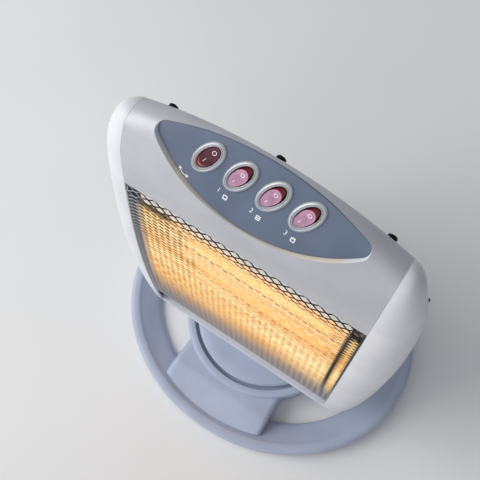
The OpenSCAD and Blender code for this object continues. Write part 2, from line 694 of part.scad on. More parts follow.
module wiring_loom() {
  n = len(loom_line) - 1;
  color([0.85, 0.84, 0.80]) row_solid([for (i = [0 : n])
    let(t = i == 0 ? [0, 0, 1] : loom_line[min(n, i + 1)] - loom_line[i - 1], u = t / norm(t),
      a = [1, 0, 0] - u[0] * u, s = a / norm(a), b = cross(u, s))
    [for (k = [0 : 7]) loom_line[i] + loom_r * (cos(45 * k) * s + sin(45 * k) * b)]]);
}

// Stand: a ring of constant section round an ellipse, a bridge and a hub
function ring_point(a, d, z) = let(n = [cos(a) / stand_a, sin(a) / stand_b])
  concat([stand_a * cos(a), stand_b * sin(a)] - d * n / norm(n), [z]);
ring_rim = 12;
ring_inner = 9;
ring_profile = [[0, foot_t], [0, ring_top - 10], [1.5, ring_top - 4], [ring_rim / 2, ring_top],
  [ring_rim - 2, ring_top], [ring_rim + 2, ring_top - 2], [ring_w - 3, ring_inner + 1], [ring_w, ring_inner - 2],
  [ring_w, foot_t], [ring_w - stand_wall, foot_t], [ring_w - stand_wall, ring_inner - 3],
  [ring_rim + 2, ring_top - 5], [ring_rim / 2 + 1, ring_top - stand_wall], [stand_wall + 1, ring_top - 6],
  [stand_wall, foot_t]];
module stand_ring() {
  count = 72;
  n = len(ring_profile);
  points = [for (i = [0 : count - 1]) for (q = ring_profile) ring_point(360 * i / count, q[0], q[1])];
  polyhedron(points, [for (i = [0 : count - 1]) for (j = [0 : n - 1]) let(p = (i + 1) % count, k = (j + 1) % n)
    each [[i * n + j, p * n + k, p * n + j], [i * n + j, i * n + k, p * n + k]]], convexity = 8);
}
bridge_end = ring_rim + 4;
module bridge_body(off) {
  reach = stand_b - bridge_end;
  intersection() {
    translate([0, 0, foot_t]) linear_extrude(hub_top) polygon([for (s = [-1, 1]) each [for (i = [-8 : 8])
      let(x = s * -i / 8 * (bridge_w + bridge_flare - off))
        [x, s * (reach - off) * sqrt(1 - pow(x / (stand_a - bridge_end), 2))]]]);
    linear_extrude(hub_top) polygon([for (s = [-1, 1]) each [for (i = [-6 : 6]) let(y = s * i / 6 * stand_b)
      [s * (bridge_w - off + bridge_flare * pow(abs(y) / stand_b, 2)), y]]]);
    along_x(stand_a) polygon([[-stand_b, 0], [-stand_b, ring_top - 5 - off], [-reach + 8, ring_top - 2 - off],
      [-hub_r - 6, hub_top - 5 - off], [hub_r + 6, hub_top - 5 - off], [reach - 8, ring_top - 2 - off],
      [stand_b, ring_top - 5 - off], [stand_b, 0]]);
  }
}
hub_floor = 29;
groove_r = turntable_r + groove_w;
module hub_body() {
  w = stand_wall;
  rotate_extrude($fn = 120) polygon([[hub_r, foot_t], [hub_r, hub_top - 4], [hub_r - 1, hub_top - 1],
    [hub_r - 4, hub_top], [groove_r, hub_top], [groove_r, hub_floor], [spindle_r + 0.1, hub_floor],
    [spindle_r + 0.1, hub_floor - w], [groove_r + w, hub_floor - w], [groove_r + w, hub_top - w],
    [hub_r - 4, hub_top - w], [hub_r - w, hub_top - 5], [hub_r - w, foot_t]]);
}
foot_angles = [38, 142, 218, 322];
foot_r = 9;
foot_in = 17;
plate_boss = [for (a = [45 : 90 : 315]) (hub_r - 14) * [cos(a), sin(a)]];
module base_moulding() {
  color(stand_colour) difference() {
    union() {
      stand_ring();
      difference() {
        bridge_body(0);
        translate([0, 0, -touch]) bridge_body(stand_wall);
        cylinder(r = hub_r - 1, h = 2 * hub_top, $fn = 120);
      }
      hub_body();
      for (a = foot_angles) let(p = ring_point(a, foot_in, foot_t)) translate(p)
        cylinder(r = foot_r + 1, h = 9, $fn = 32);
      for (p = plate_boss) translate([p[0], p[1], foot_t + plate_t])
        cylinder(r = 4.5, h = hub_floor - foot_t - plate_t - 1, $fn = 32);
    }
    translate([0, motor_y, hub_floor - 5]) cylinder(r = shaft_r + 2, h = 10, $fn = 32);
    for (p = plate_boss) translate([p[0], p[1], 0]) cylinder(r = 1.6, h = 16, $fn = 24);
    translate([0, stand_b - bridge_end - 12, gland_z]) rotate([-90, 0, 0])
      cylinder(r = gland_r, h = 60, $fn = 40);
  }
}
plate_t = 1.5;
plunger_place = [-52, -28];
plunger_r = 5;
module base_plate() {
  color(steel_colour) difference() {
    translate([0, 0, foot_t]) cylinder(r = hub_r - stand_wall - 0.5, h = plate_t, $fn = 96);
    translate([plunger_place[0], plunger_place[1], 0]) cylinder(r = plunger_r + 0.3, h = 10, $fn = 40);
    for (p = plate_boss) translate([p[0], p[1], 0]) cylinder(r = 1.8, h = 10, $fn = 24);
  }
}
module plate_screws() {
  color(steel_colour) for (p = plate_boss) translate([p[0], p[1], 0]) {
    translate([0, 0, foot_t - 1.6]) cylinder(r1 = 2.4, r2 = 3.2, h = 1.6, $fn = 32);
    translate([0, 0, foot_t - touch]) cylinder(r = 1.5, h = 12, $fn = 24);
  }
}
module rubber_feet() {
  color(black_colour) for (a = foot_angles) let(p = ring_point(a, foot_in, 0)) translate(p)
    cylinder(r1 = foot_r - 0.8, r2 = foot_r, h = foot_t, $fn = 40);
}
gland_z = 12;
gland_r = 6;
module cord_gland() {
  y0 = stand_b - bridge_end - 10;
  color(black_colour) translate([0, y0, gland_z]) rotate([-90, 0, 0]) difference() {
    union() {
      cylinder(r = gland_r - 0.1, h = stand_b - y0, $fn = 40);
      translate([0, 0, stand_b - y0 - touch]) cylinder(r1 = gland_r + 2, r2 = gland_r + 1, h = 1.6, $fn = 40);
    }
    translate([0, 0, -1]) cylinder(r = 3.6, h = stand_b - y0 + 10, $fn = 32);
  }
}

// Spindle, washers and nut hold the head down and let it turn
nut_r = 15;
spindle_top = head_bottom + 9;
flange_t = 2.5;
module spindle() {
  color(steel_colour) rotate_extrude($fn = 64) polygon([[spindle_r - 3, hub_floor - stand_wall - flange_t],
    [spindle_r + 8, hub_floor - stand_wall - flange_t], [spindle_r + 8, hub_floor - stand_wall],
    [spindle_r, hub_floor - stand_wall], [spindle_r, spindle_top], [spindle_r - 3, spindle_top]]);
}
module ring_of(r0, r1, h) {
  difference() {
    cylinder(r = r1, h = h, $fn = 64);
    translate([0, 0, -1]) cylinder(r = r0, h = h + 2, $fn = 64);
  }
}
washer_t = 1.6;
module thrust_washer() {
  color([0.85, 0.82, 0.7]) translate([0, 0, hub_floor]) ring_of(spindle_r + 0.3, spindle_r + 9, washer_t);
}
module retaining_washer() {
  color(steel_colour) translate([0, 0, head_bottom + 0.2]) ring_of(spindle_r + 0.1, nut_r + 2, 1);
}
module spindle_nut() {
  color(steel_colour) translate([0, 0, head_bottom + 1.2]) difference() {
    cylinder(r = nut_r, h = 5, $fn = 6);
    translate([0, 0, -1]) cylinder(r = spindle_r + 0.02, h = 7, $fn = 64);
  }
}

// Turntable with its neck and the fork that the crank pin works in
turntable_top = hub_top + 5;
boss_low = hub_floor + washer_t + 0.2;
fork_low = hub_floor + 4.6;
crank_r = motor_y * sin(swing_half);
pin_r = 2.5;
fork_half = pin_r + 4;
neck_screw_r = 1.8;
neck_screw_places = [for (a = [0 : 90 : 270]) (neck_r - 9) * [cos(a), sin(a)]];
module turntable() {
  w = stand_wall;
  color(stand_colour) difference() {
    union() {
      rotate_extrude($fn = 120) polygon([[turntable_r, hub_top - 4], [turntable_r, hub_top + 1],
        [turntable_r - 2, turntable_top - 1], [turntable_r - 6, turntable_top], [neck_r + 5, turntable_top + 1],
        [neck_r, turntable_top + 5], [neck_r, head_bottom], [spindle_r + running, head_bottom],
        [spindle_r + running, boss_low], [spindle_r + 4, boss_low], [spindle_r + 4, head_bottom - w],
        [neck_r - w, head_bottom - w], [neck_r - w, turntable_top + 4], [neck_r + 4, turntable_top + 1 - w],
        [turntable_r - 6, turntable_top - w], [turntable_r - w, hub_top], [turntable_r - w, hub_top - 4]]);
      for (m = [-1, 1]) {
        translate([m * (fork_half + 1) - 1, motor_y - crank_r + 7, fork_low])
          cube([2, neck_r - motor_y + crank_r - 8, head_bottom - w - fork_low + touch]);
        translate([m * (fork_half + 1) - 1, neck_r - 2, fork_low])
          cube([2, motor_y + crank_r + 14 - neck_r, turntable_top + 0.5 - w - fork_low]);
      }
      for (p = neck_screw_places) translate([p[0], p[1], head_bottom - w - 7])
        cylinder(r = 4, h = 7 + touch, $fn = 32);
    }
    for (p = neck_screw_places) translate([p[0], p[1], head_bottom - 9])
      cylinder(r = neck_screw_r - 0.2, h = 12, $fn = 24);
  }
}
module turntable_screws() {
  color(steel_colour) for (p = neck_screw_places) translate([p[0], p[1], floor_top]) {
    cylinder(r1 = 3.6, r2 = 3, h = 2.2, $fn = 32);
    translate([0, 0, -8]) cylinder(r = neck_screw_r - 0.25, h = 8 + touch, $fn = 24);
  }
}

// Swing motor under the hub's floor, its crank above the floor
shaft_r = 3;
motor_top = hub_floor - stand_wall - 4.5;
motor_h = 15;
module swing_motor() {
  color(steel_colour) difference() {
    union() {
      translate([0, motor_y, motor_top - motor_h]) cylinder(d = motor_d, h = motor_h, $fn = 64);
      for (m = [-1, 1]) translate([m * (motor_d / 2 + 4), motor_y, motor_top - 2]) {
        cylinder(r = 4, h = 4.5 + 2, $fn = 32);
        translate([m > 0 ? -8 : 0, -4, 0]) cube([8, 8, 2]);
      }
    }
    translate([0, motor_y, motor_top - 10]) cylinder(r = shaft_r + running, h = 20, $fn = 40);
  }
}
module crank() {
  arm_z = hub_floor + 1.4;
  arm_t = 2.6;
  color([0.92, 0.90, 0.82]) translate([0, motor_y, 0]) {
    translate([0, 0, motor_top - 8]) cylinder(r = shaft_r, h = arm_z - motor_top + 8 + touch, $fn = 40);
    translate([0, 0, arm_z]) {
      cylinder(r = 6.5, h = arm_t, $fn = 40);
      translate([-4, 0, 0]) cube([8, crank_r, arm_t]);
      translate([0, crank_r, 0]) cylinder(r = 4.5, h = arm_t, $fn = 40);
      translate([0, crank_r, 0]) cylinder(r = pin_r, h = arm_t + 6, $fn = 40);
    }
  }
}

// Tip-over plunger, its spring and the microswitch above it
flange_z = foot_t + plate_t + plunger_travel + 0.5;
spring_low = flange_z + 1.5;
spring_top = hub_floor - stand_wall - 8;
module tip_plunger() {
  color([0.85, 0.2, 0.15]) translate([plunger_place[0], plunger_place[1], 0]) {
    translate([0, 0, 1]) cylinder(r = plunger_r, h = flange_z, $fn = 40);
    cylinder(r1 = plunger_r - 1, r2 = plunger_r, h = 1 + touch, $fn = 40);
    translate([0, 0, flange_z]) cylinder(r = plunger_r + 2, h = 1.5, $fn = 40);
  }
}
module plunger_spring() {
  color(steel_colour) translate([plunger_place[0], plunger_place[1], spring_low + 0.05])
    ring_of(3.6, 4.6, spring_top - spring_low - 0.1);
}
module tip_switch() {
  color(black_colour) translate([plunger_place[0] - 10, plunger_place[1] - 6, spring_top])
    cube([20, 12, hub_floor - stand_wall - spring_top]);
}

base_moulding();
base_plate();
rubber_feet();
plate_screws();
spindle();
thrust_washer();
retaining_washer();
spindle_nut();
swing_motor();
crank();
tip_switch();
tip_plunger();
plunger_spring();
cord_gland();
turntable();
turntable_screws();
bottom_cover();
chassis_left();
chassis_right();
side_cover_left();
side_cover_right();
side_screws();
top_cover();
rear_screws();
control_panel();
switch_housings();
switch_terminals();
rocker_swing();
rocker_heat_1();
rocker_heat_2();
rocker_heat_3();
grille_mesh();
reflector();
quartz_tubes();
filaments();
tube_caps();
rear_housing();
housing_screws();
thermal_cutout();
terminal_block();
wiring_loom();
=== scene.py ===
"""Visual model of an oscillating halogen heater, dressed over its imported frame.

Shapes are worked out in millimetres, with the same heights, radii and outlines as the part's solids, and
are put into the meshes in metres. The front faces -Y and the swing axis is the Z axis.
"""
from __future__ import annotations

import logging
import math
from dataclasses import dataclass
from enum import Enum
from typing import Callable, Iterable, Optional, Sequence

import bpy
import numpy as np
from mathutils import Matrix, Vector

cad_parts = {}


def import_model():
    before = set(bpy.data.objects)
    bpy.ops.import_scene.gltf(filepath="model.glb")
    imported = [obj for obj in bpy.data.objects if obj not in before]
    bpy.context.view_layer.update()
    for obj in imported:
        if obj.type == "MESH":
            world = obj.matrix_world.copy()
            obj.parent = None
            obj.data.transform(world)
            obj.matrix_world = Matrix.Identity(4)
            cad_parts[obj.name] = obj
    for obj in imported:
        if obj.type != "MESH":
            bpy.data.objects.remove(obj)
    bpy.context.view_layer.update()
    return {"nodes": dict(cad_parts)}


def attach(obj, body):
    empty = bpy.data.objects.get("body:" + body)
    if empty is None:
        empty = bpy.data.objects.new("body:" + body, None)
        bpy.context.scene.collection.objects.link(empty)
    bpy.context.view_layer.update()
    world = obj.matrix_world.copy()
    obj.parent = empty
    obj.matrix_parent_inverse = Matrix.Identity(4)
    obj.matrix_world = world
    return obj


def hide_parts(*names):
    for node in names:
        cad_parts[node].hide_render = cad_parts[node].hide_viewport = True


LOG = logging.getLogger("heater")
MM = 0.001
MERGE_M = 2e-6  # points of a CAD mesh that are this close become one
Array = np.ndarray
Colour = tuple[float, float, float]
Socket = bpy.types.NodeSocket
Piece = bpy.types.Object
Material = bpy.types.Material
BLACK: Colour = (0.0, 0.0, 0.0)
WHITE: Colour = (1.0, 1.0, 1.0)
EVENLY = (1.0, 1.0, 1.0)


class Body(Enum):
    """The moving bodies of the frame."""

    BASE = "base"
    HEAD = "head"
    CRANK = "crank"
    PLUNGER = "plunger"
    ROCKER_SWING = "rocker_swing"
    ROCKER_HEAT_1 = "rocker_heat_1"
    ROCKER_HEAT_2 = "rocker_heat_2"
    ROCKER_HEAT_3 = "rocker_heat_3"


class Switch(Enum):
    """What a rocker switch is for, in the order of the row from left to right."""

    SWING = 0
    HEAT_1 = 1
    HEAT_2 = 2
    HEAT_3 = 3

    @property
    def body(self) -> Body:
        """Returns the body of the switch's rocker."""
        return Body[f"ROCKER_{self.name}"]

    @property
    def lit(self) -> bool:
        """Returns whether the rocker lies on and glows, as all but the first do."""
        return self is not Switch.SWING


def shade(red: int, green: int, blue: int) -> Colour:
    """Returns a display colour, given in 0 to 255, as linear values.

    Args:
        red: Red, 0 to 255.
        green: Green.
        blue: Blue.

    Returns:
        The linear colour.
    """
    parts = np.array([red, green, blue]) / 255.0
    linear = np.where(parts <= 0.04045, parts / 12.92, ((parts + 0.055) / 1.055) ** 2.4)
    return tuple(float(p) for p in linear)


def tinted(colour: Colour, share: float, lift: float = 0.0) -> Colour:
    """Returns a colour made darker or paler: each part times share, plus lift, and 1 at most."""
    return tuple(min(1.0, part * share + lift) for part in colour)


# --------------------------------------------------------------------------------------- materials


class NodeTree:
    """A tree of shader nodes, with short calls that add and link them."""

    def __init__(self, tree: bpy.types.NodeTree) -> None:
        """Takes the tree of a material or a world."""
        self.nodes, self.links = tree.nodes, tree.links

    def put(self, kind: str, values: Optional[dict] = None, settings: Optional[dict] = None
            ) -> bpy.types.Node:
        """Adds a node.

        Args:
            kind: The node's type, without its prefix.
            values: Input name or index to a value or to the socket that feeds it.
            settings: Properties of the node itself.

        Returns:
            The node.
        """
        node = self.nodes.new("ShaderNode" + kind)
        for key, value in (settings or {}).items():
            setattr(node, key, value)
        for key, value in (values or {}).items():
            self.feed(node.inputs[key], value)
        return node

    def feed(self, socket: Socket, value: object) -> None:
        """Links a socket to another one, or sets its value.

        Args:
            socket: The input.
            value: A socket or a plain value.
        """
        if isinstance(value, bpy.types.NodeSocket):
            self.links.new(value, socket)
        elif isinstance(value, tuple) and len(value) == 3 and socket.type == "RGBA":
            socket.default_value = (*value, 1.0)
        else:
            socket.default_value = value

    def sums(self, how: str, first: object, second: object = 0.0, third: object = 0.0) -> Socket:
        """Returns the result of one step of arithmetic."""
        return self.put("Math", {0: first, 1: second, 2: third}, {"operation": how}).outputs[0]

    def product(self, first: object, *factors: object) -> Socket:
        """Returns the product of all the factors.

        Args:
            first: A socket or number.
            factors: What multiplies it.

        Returns:
            The product.
        """
        for factor in factors:
            first = self.sums("MULTIPLY", first, factor)
        return first


class Graph(NodeTree):
    """A material's node tree, with short calls for the nodes that the finishes share."""

    def __init__(self, name: str) -> None:
        """Starts a material with an output and one shader.

        Args:
            name: The material's name.
        """
        self.material = bpy.data.materials.new(name)
        self.material.use_nodes = True
        super().__init__(self.material.node_tree)
        self.nodes.clear()
        self.shader = self.put("BsdfPrincipled")
        self.put("OutputMaterial", {"Surface": self.shader.outputs["BSDF"]})

    def place(self, stretch: Sequence[float] = EVENLY) -> Socket:
        """Returns the object coordinates, in metres, stretched along each axis."""
        where = self.put("TexCoord").outputs["Object"]
        return self.put("Mapping", {"Vector": where, "Scale": tuple(stretch)}).outputs["Vector"]

    def axis(self, name: str) -> Socket:
        """Returns one of the object coordinates, in metres."""
        return self.put("SeparateXYZ", {"Vector": self.place()}).outputs[name]

    def painted(self, key: str) -> Socket:
        """Returns one of the attributes that the piece's points carry."""
        return self.put("Attribute", settings={"attribute_name": key}).outputs["Fac"]

    def fade(self, value: Socket, start: float, end: float, how: str = "SMOOTHSTEP") -> Socket:
        """Returns 0 on start's side and 1 on end's side of a value's rise between the two.

        Args:
            value: The socket that is read.
            start: The value at which the result leaves 0.
            end: The value at which it reaches 1, above start or below it.
            how: SMOOTHSTEP or LINEAR.

        Returns:
            The result's socket.
        """
        values = {"Value": value, "From Min": start, "From Max": end}
        return self.put("MapRange", values, {"interpolation_type": how}).outputs["Result"]

    def vary(self, factor: Socket, middle: float, span: float) -> Socket:
        """Returns a value that follows a factor over a span about its middle."""
        return self.sums("MULTIPLY_ADD", factor, span, middle - span / 2)

    def noise(self, scale: float, detail: float = 3.0, stretch: Sequence[float] = EVENLY) -> Socket:
        """Returns noise between 0 and 1.

        Args:
            scale: Grains per metre.
            detail: Octaves.
            stretch: Factor on each axis, below 1 to draw the grains out along it.

        Returns:
            The factor socket.
        """
        values = {"Vector": self.place(stretch), "Scale": scale, "Detail": detail}
        return self.put("TexNoise", values).outputs["Fac"]

    def ramp(self, factor: Socket, stops: Sequence[tuple[float, Colour]]) -> Socket:
        """Returns a colour that follows the stops.

        Args:
            factor: The socket that is read, from 0 to 1.
            stops: Places and their colours, in rising order.

        Returns:
            The colour socket.
        """
        node = self.put("ValToRGB", {"Fac": factor})
        marks = node.color_ramp.elements
        while len(marks) < len(stops):
            marks.new(1.0)
        for mark, (place, colour) in zip(marks, stops):
            mark.position = place
            mark.color = (*colour, 1.0)
        return node.outputs["Color"]

    def clouds(self, factor: Socket, colour: Colour, dark: float, pale: float = 1.0,
               reach: tuple[float, float] = (0.35, 0.65)) -> Socket:
        """Returns a colour that a factor carries from a darker tone to a paler one.

        Args:
            factor: The socket that is read, from 0 to 1.
            colour: The colour itself.
            dark: Share of it in the darker tone.
            pale: Share of it in the paler tone.
            reach: The factor at each of the two tones.

        Returns:
            The colour socket.
        """
        return self.ramp(factor, [(reach[0], tinted(colour, dark)), (reach[1], tinted(colour, pale))])

    def blend(self, factor: object, first: object, second: object) -> Socket:
        """Returns two colours mixed."""
        values = {0: factor, 6: first, 7: second}
        return self.put("Mix", values, {"data_type": "RGBA"}).outputs[2]

    def relief(self, height: Socket, depth: float, strength: float = 1.0) -> None:
        """Gives the shader a bump of some millimetres."""
        values = {"Height": height, "Distance": depth * MM, "Strength": strength}
        self.feed(self.shader.inputs["Normal"], self.put("Bump", values).outputs["Normal"])

    def dress(self, **values: object) -> Material:
        """Sets or links the shader's inputs, named with underscores, and returns the material.

        Args:
            values: Sockets or plain values by input.

        Returns:
            The material.
        """
        for key, value in values.items():
            self.feed(self.shader.inputs[key.replace("_", " ")], value)
        return self.material


@dataclass(frozen=True)
class MouldedPlastic:
    """Moulded plastic: fine grain, faint clouds in the colour, and roughness that follows the grain."""

    name: str
    colour: Colour
    roughness: float = 0.42
    clouds: float = 0.05
    grain_per_m: float = 2600.0
    grain_mm: float = 0.035

    def material(self) -> Material:
        """Returns the finish as a material.

        Returns:
            The material.
        """
        graph = Graph(self.name)
        base = graph.clouds(graph.noise(28.0, 4.0), self.colour, 1 - self.clouds, 1 + self.clouds)
        grain = graph.noise(self.grain_per_m, 2.0)
        graph.relief(grain, self.grain_mm)
        return graph.dress(Base_Color=base, Roughness=graph.vary(grain, self.roughness, 0.12))


@dataclass(frozen=True)
class SilverPaint:
    """Silver paint on plastic: bright flakes in a satin coat."""

    name: str
    colour: Colour
    flakes_per_m: float = 3400.0
    metallic: float = 0.45
    roughness: float = 0.36
    coat: float = 0.15

    def material(self) -> Material:
        """Returns the finish as a material.

        Returns:
            The material.
        """
        graph = Graph(self.name)
        flakes = graph.put("TexVoronoi", {"Vector": graph.place(), "Scale": self.flakes_per_m})
        spark = graph.put("SeparateColor", {"Color": flakes.outputs["Color"]}).outputs["Red"]
        cloud = graph.clouds(graph.noise(20.0), self.colour, 0.9)
        base = graph.blend(graph.product(spark, 0.35), cloud, tinted(self.colour, 1.1))
        rough = graph.vary(graph.noise(60.0, 4.0), self.roughness, 0.1)
        graph.relief(spark, 0.01, 0.5)
        return graph.dress(Base_Color=base, Roughness=rough, Metallic=self.metallic,
                           Coat_Weight=self.coat, Coat_Roughness=0.25)


@dataclass(frozen=True)
class SheetMetal:
    """Bare or plated metal with lines drawn along one axis and faint stains; glow, where set, is emission in
    its own colour, painted light.
    """

    name: str
    colour: Colour
    roughness: float = 0.3
    metallic: float = 1.0
    along: tuple[float, float, float] = (0.04, 1.0, 1.0)
    lines_per_m: float = 1500.0
    lines_mm: float = 0.02
    glow: float = 0.0

    def material(self) -> Material:
        """Returns the finish as a material.

        Returns:
            The material.
        """
        graph = Graph(self.name)
        lines = graph.noise(self.lines_per_m, 3.0, self.along)
        base = graph.clouds(graph.noise(45.0, 5.0), self.colour, 0.8, reach=(0.3, 0.6))
        graph.relief(lines, self.lines_mm)
        # glow gives emission in the metal's own colour: painted light
        return graph.dress(Base_Color=base, Roughness=graph.vary(lines, self.roughness, 0.2),
                           Metallic=self.metallic, Emission_Color=self.colour,
                           Emission_Strength=self.glow)


@dataclass(frozen=True)
class PocketPlastic:
    """The pocket's wall: bare cream plastic, and towards the leaf's tips a pale silver tone that is partly
    the cover's paint and partly painted light, far paler than the paint, lifting the wall's shade.
    """

    name: str
    bare: Colour
    # the tips' colour: the cover's silver made much paler, partly paint and partly painted light
    painted: Colour
    from_mm: float = 66.0
    to_mm: float = 80.0

    def material(self) -> Material:
        """Returns the finish as a material.

        Returns:
            The material.
        """
        graph = Graph(self.name)
        side = graph.sums("ABSOLUTE", graph.axis("X"))
        # rises to 1 towards the tips, where the wall takes the pale tip colour, partly painted light
        paint = graph.fade(side, self.from_mm * MM, self.to_mm * MM)
        cloud = graph.noise(60.0)
        graph.relief(graph.noise(2600.0, 2.0), 0.03)
        base = graph.blend(paint, graph.clouds(cloud, self.bare, 0.94), self.painted)
        return graph.dress(Base_Color=base, Roughness=graph.vary(cloud, 0.45, 0.1))


@dataclass(frozen=True)
class GlowPaintedSheet:
    """The reflector: polished sheet with fine streaks along X, and the tubes' glow painted on its front as
    emission in bands, a painted reflection.

    A band's glow is exp(-d^2 / 2 s^2) at a distance d above or below its tube, with s its spread.
    """

    name: str
    bands_mm: tuple[float, ...]
    glow: Colour
    bare: Colour
    spread_mm: float = 34.0
    lit_mm: tuple[float, float] = (100.0, 90.0)

    def material(self) -> Material:
        """Returns the finish as a material.

        Returns:
            The material.
        """
        graph = Graph(self.name)
        up, bands = graph.axis("Z"), 0.0
        for height in self.bands_mm:
            away = graph.sums("SUBTRACT", up, height * MM)
            near = graph.product(away, away, -1 / (2 * (self.spread_mm * MM) ** 2))
            bands = graph.sums("ADD", graph.sums("EXPONENT", near), bands)
        ends = graph.fade(graph.sums("ABSOLUTE", graph.axis("X")), *(side * MM for side in self.lit_mm))
        turned = graph.put("TexCoord").outputs["Normal"]
        turned = graph.put("SeparateXYZ", {"Vector": turned}).outputs["Y"]
        facing = graph.fade(turned, 0.0, -0.2, "LINEAR")
        streak = graph.noise(700.0, 4.0, (0.02, 0.3, 1.0))
        graph.relief(streak, 0.05)
        # emission in bands at the tubes' heights, on the faces that look forward: a painted reflection of
        # the tubes' glow
        power = graph.product(bands, ends, facing, graph.vary(streak, 0.95, 0.9))
        return graph.dress(Base_Color=graph.clouds(streak, self.bare, 0.8, reach=(0.3, 0.7)),
                           Metallic=1.0, Roughness=graph.vary(streak, 0.245, 0.25),
                           Emission_Color=self.glow, Emission_Strength=power)


@dataclass(frozen=True)
class GlowPaintedMesh:
    """Black mesh with a painted glow of the tubes on its inner faces, gold higher up; its colour is grey at
    the foot and the left end.
    """

    name: str
    colour: Colour
    grey: Colour
    # the painted glow's two hues: the glow colour and a paler highlight colour
    glow: Colour
    glow_highlight: Colour
    foot_mm: float
    gold_mm: float
    top_mm: float
    half_mm: float = 109.0
    top_zone_mm: float = 5.0
    # the painted glow's share across the width: none at the left end, and a painted shadow in a narrow strip
    # near the right end, where the chassis plate's edge stands
    lit: tuple[tuple[float, float], ...] = ((0.035, 0.0), (0.085, 1.0), (0.938, 1.0), (0.946, 0.0),
                                            (0.956, 0.0), (0.962, 1.0), (0.99, 1.0), (1.0, 0.0))

    def material(self) -> Material:
        """Returns the finish as a material.

        Returns:
            The material.
        """
        graph = Graph(self.name)
        up = graph.axis("Z")
        rise = graph.fade(up, self.foot_mm * MM, self.gold_mm * MM)
        fall = graph.fade(up, (self.top_mm + self.top_zone_mm) * MM, (self.top_mm - self.top_zone_mm) * MM)
        across = graph.fade(graph.axis("X"), -self.half_mm * MM, self.half_mm * MM, "LINEAR")
        sides = graph.ramp(across, [(place, (share, share, share)) for place, share in self.lit])
        streak = graph.noise(420.0, 5.0, (0.02, 1.0, 1.0))
        patch = graph.noise(14.0, 2.0, (0.35, 1.0, 1.0))
        # power: the tubes' light painted as emission on the strands' inner faces
        power = graph.product(rise, fall, sides, graph.vary(streak, 1.0, 1.0),
                              graph.vary(patch, 1.0, 0.6), graph.painted("inward"))
        # the hue runs from the glow colour to the paler highlight colour in streaks: painted highlights
        hue = graph.ramp(graph.product(streak, patch), [(0.15, self.glow), (0.36, self.glow_highlight)])
        end = graph.ramp(across, [(0.045, WHITE), (0.085, BLACK)])
        greys = graph.sums("MAXIMUM", graph.vary(rise, 0.45, -0.9), end)
        return graph.dress(Base_Color=graph.blend(greys, self.colour, self.grey), Metallic=0.2,
                           Roughness=graph.vary(graph.noise(1500.0), 0.45, 0.2),
                           Emission_Color=hue, Emission_Strength=power)


@dataclass(frozen=True)
class Coil:
    """Glowing resistance wire, hottest in the middle of the tube."""

    name: str
    half_mm: float
    strength: float = 1.6

    def material(self) -> Material:
        """Returns the finish as a material.

        Returns:
            The material.
        """
        graph = Graph(self.name)
        side = graph.sums("ABSOLUTE", graph.axis("X"))
        heat = graph.fade(side, self.half_mm * MM, self.half_mm * 0.8 * MM)
        hue = graph.ramp(heat, [(0.0, shade(190, 60, 20)), (1.0, shade(255, 190, 90))])
        power = graph.product(heat, graph.vary(graph.noise(300.0), 1.0, 0.6), self.strength)
        return graph.dress(Base_Color=shade(120, 110, 100), Roughness=0.5, Emission_Color=hue,
                           Emission_Strength=power)


@dataclass(frozen=True)
class ClearQuartz:
    """Clear quartz with faint waves and a trace of dust."""

    name: str

    def material(self) -> Material:
        """Returns the finish as a material.

        Returns:
            The material.
        """
        graph = Graph(self.name)
        wave = graph.noise(160.0, 2.0, (0.2, 1.0, 1.0))
        graph.relief(wave, 0.03)
        return graph.dress(Base_Color=(1.0, 0.96, 0.9), Roughness=graph.vary(wave, 0.26, 0.08), IOR=1.46,
                           Transmission_Weight=1.0)


@dataclass(frozen=True)
class LensPlastic:
    """Translucent red rocker plastic: a face, a painted highlight on its rim, and deep walls, those at one
    end paler as painted light.
    """

    name: str
    face: Colour
    wall: Colour
    end: Colour
    rim: Colour
    strength: float

    def material(self) -> Material:
        """Returns the finish as a material.

        Returns:
            The material.
        """
        graph = Graph(self.name)
        face, end, rim = (graph.painted(key) for key in ("face", "end", "rim"))
        cloud = graph.noise(200.0, 2.0)
        front = graph.ramp(cloud, [(0.3, tinted(self.face, 0.85)), (0.75, tinted(self.face, 1.2, 0.01))])
        # the end colour on the walls at one end is painted light, and the rim colour a painted highlight
        base = graph.blend(end, graph.blend(face, self.wall, front), self.end)
        base = graph.blend(rim, base, self.rim)
        graph.relief(graph.noise(1800.0, 2.0), 0.02)
        # the rim glows more than the face: painted highlight
        shine = graph.sums("MULTIPLY_ADD", face, 0.6, rim)
        return graph.dress(Base_Color=base, Roughness=graph.vary(cloud, 0.25, 0.1), Coat_Weight=0.5,
                           Coat_Roughness=0.15, Emission_Color=base,
                           Emission_Strength=graph.product(shine, self.strength))


# ------------------------------------------------------------------------------------------ meshes


def loops(rows: int, columns: int, close_rows: bool, close_columns: bool) -> Array:
    """Faces of a grid.

    Args:
        rows: Number of rows.
        columns: Points in each row.
        close_rows: Whether the last row joins the first.
        close_columns: Whether each row is a closed loop.

    Returns:
        One row of four corners for each face. Corner k is taken at (i, j), (i, j+1), (i+1, j+1), (i+1, j).
    """
    i, j = np.meshgrid(np.arange(rows if close_rows else rows - 1),
                       np.arange(columns if close_columns else columns - 1), indexing="ij")
    i, j = i.ravel(), j.ravel()
    up, on = (i + 1) % rows, (j + 1) % columns
    return np.stack([i * columns + j, i * columns + on, up * columns + on, up * columns + j], axis=1)


def side_wall(rows: int, columns: int, apart: int) -> Array:
    """Returns the faces between two grids along their first columns, one grid apart points on."""
    i = np.arange(rows - 1) * columns
    return np.stack([i, i + columns, apart + i + columns, apart + i], axis=1)


def end_caps(rows: int, columns: int) -> tuple[Array, Array]:
    """Returns the flat faces at the two ends of a grid whose rows are closed loops."""
    return np.arange(columns - 1, -1, -1)[None], (rows - 1) * columns + np.arange(columns)[None]


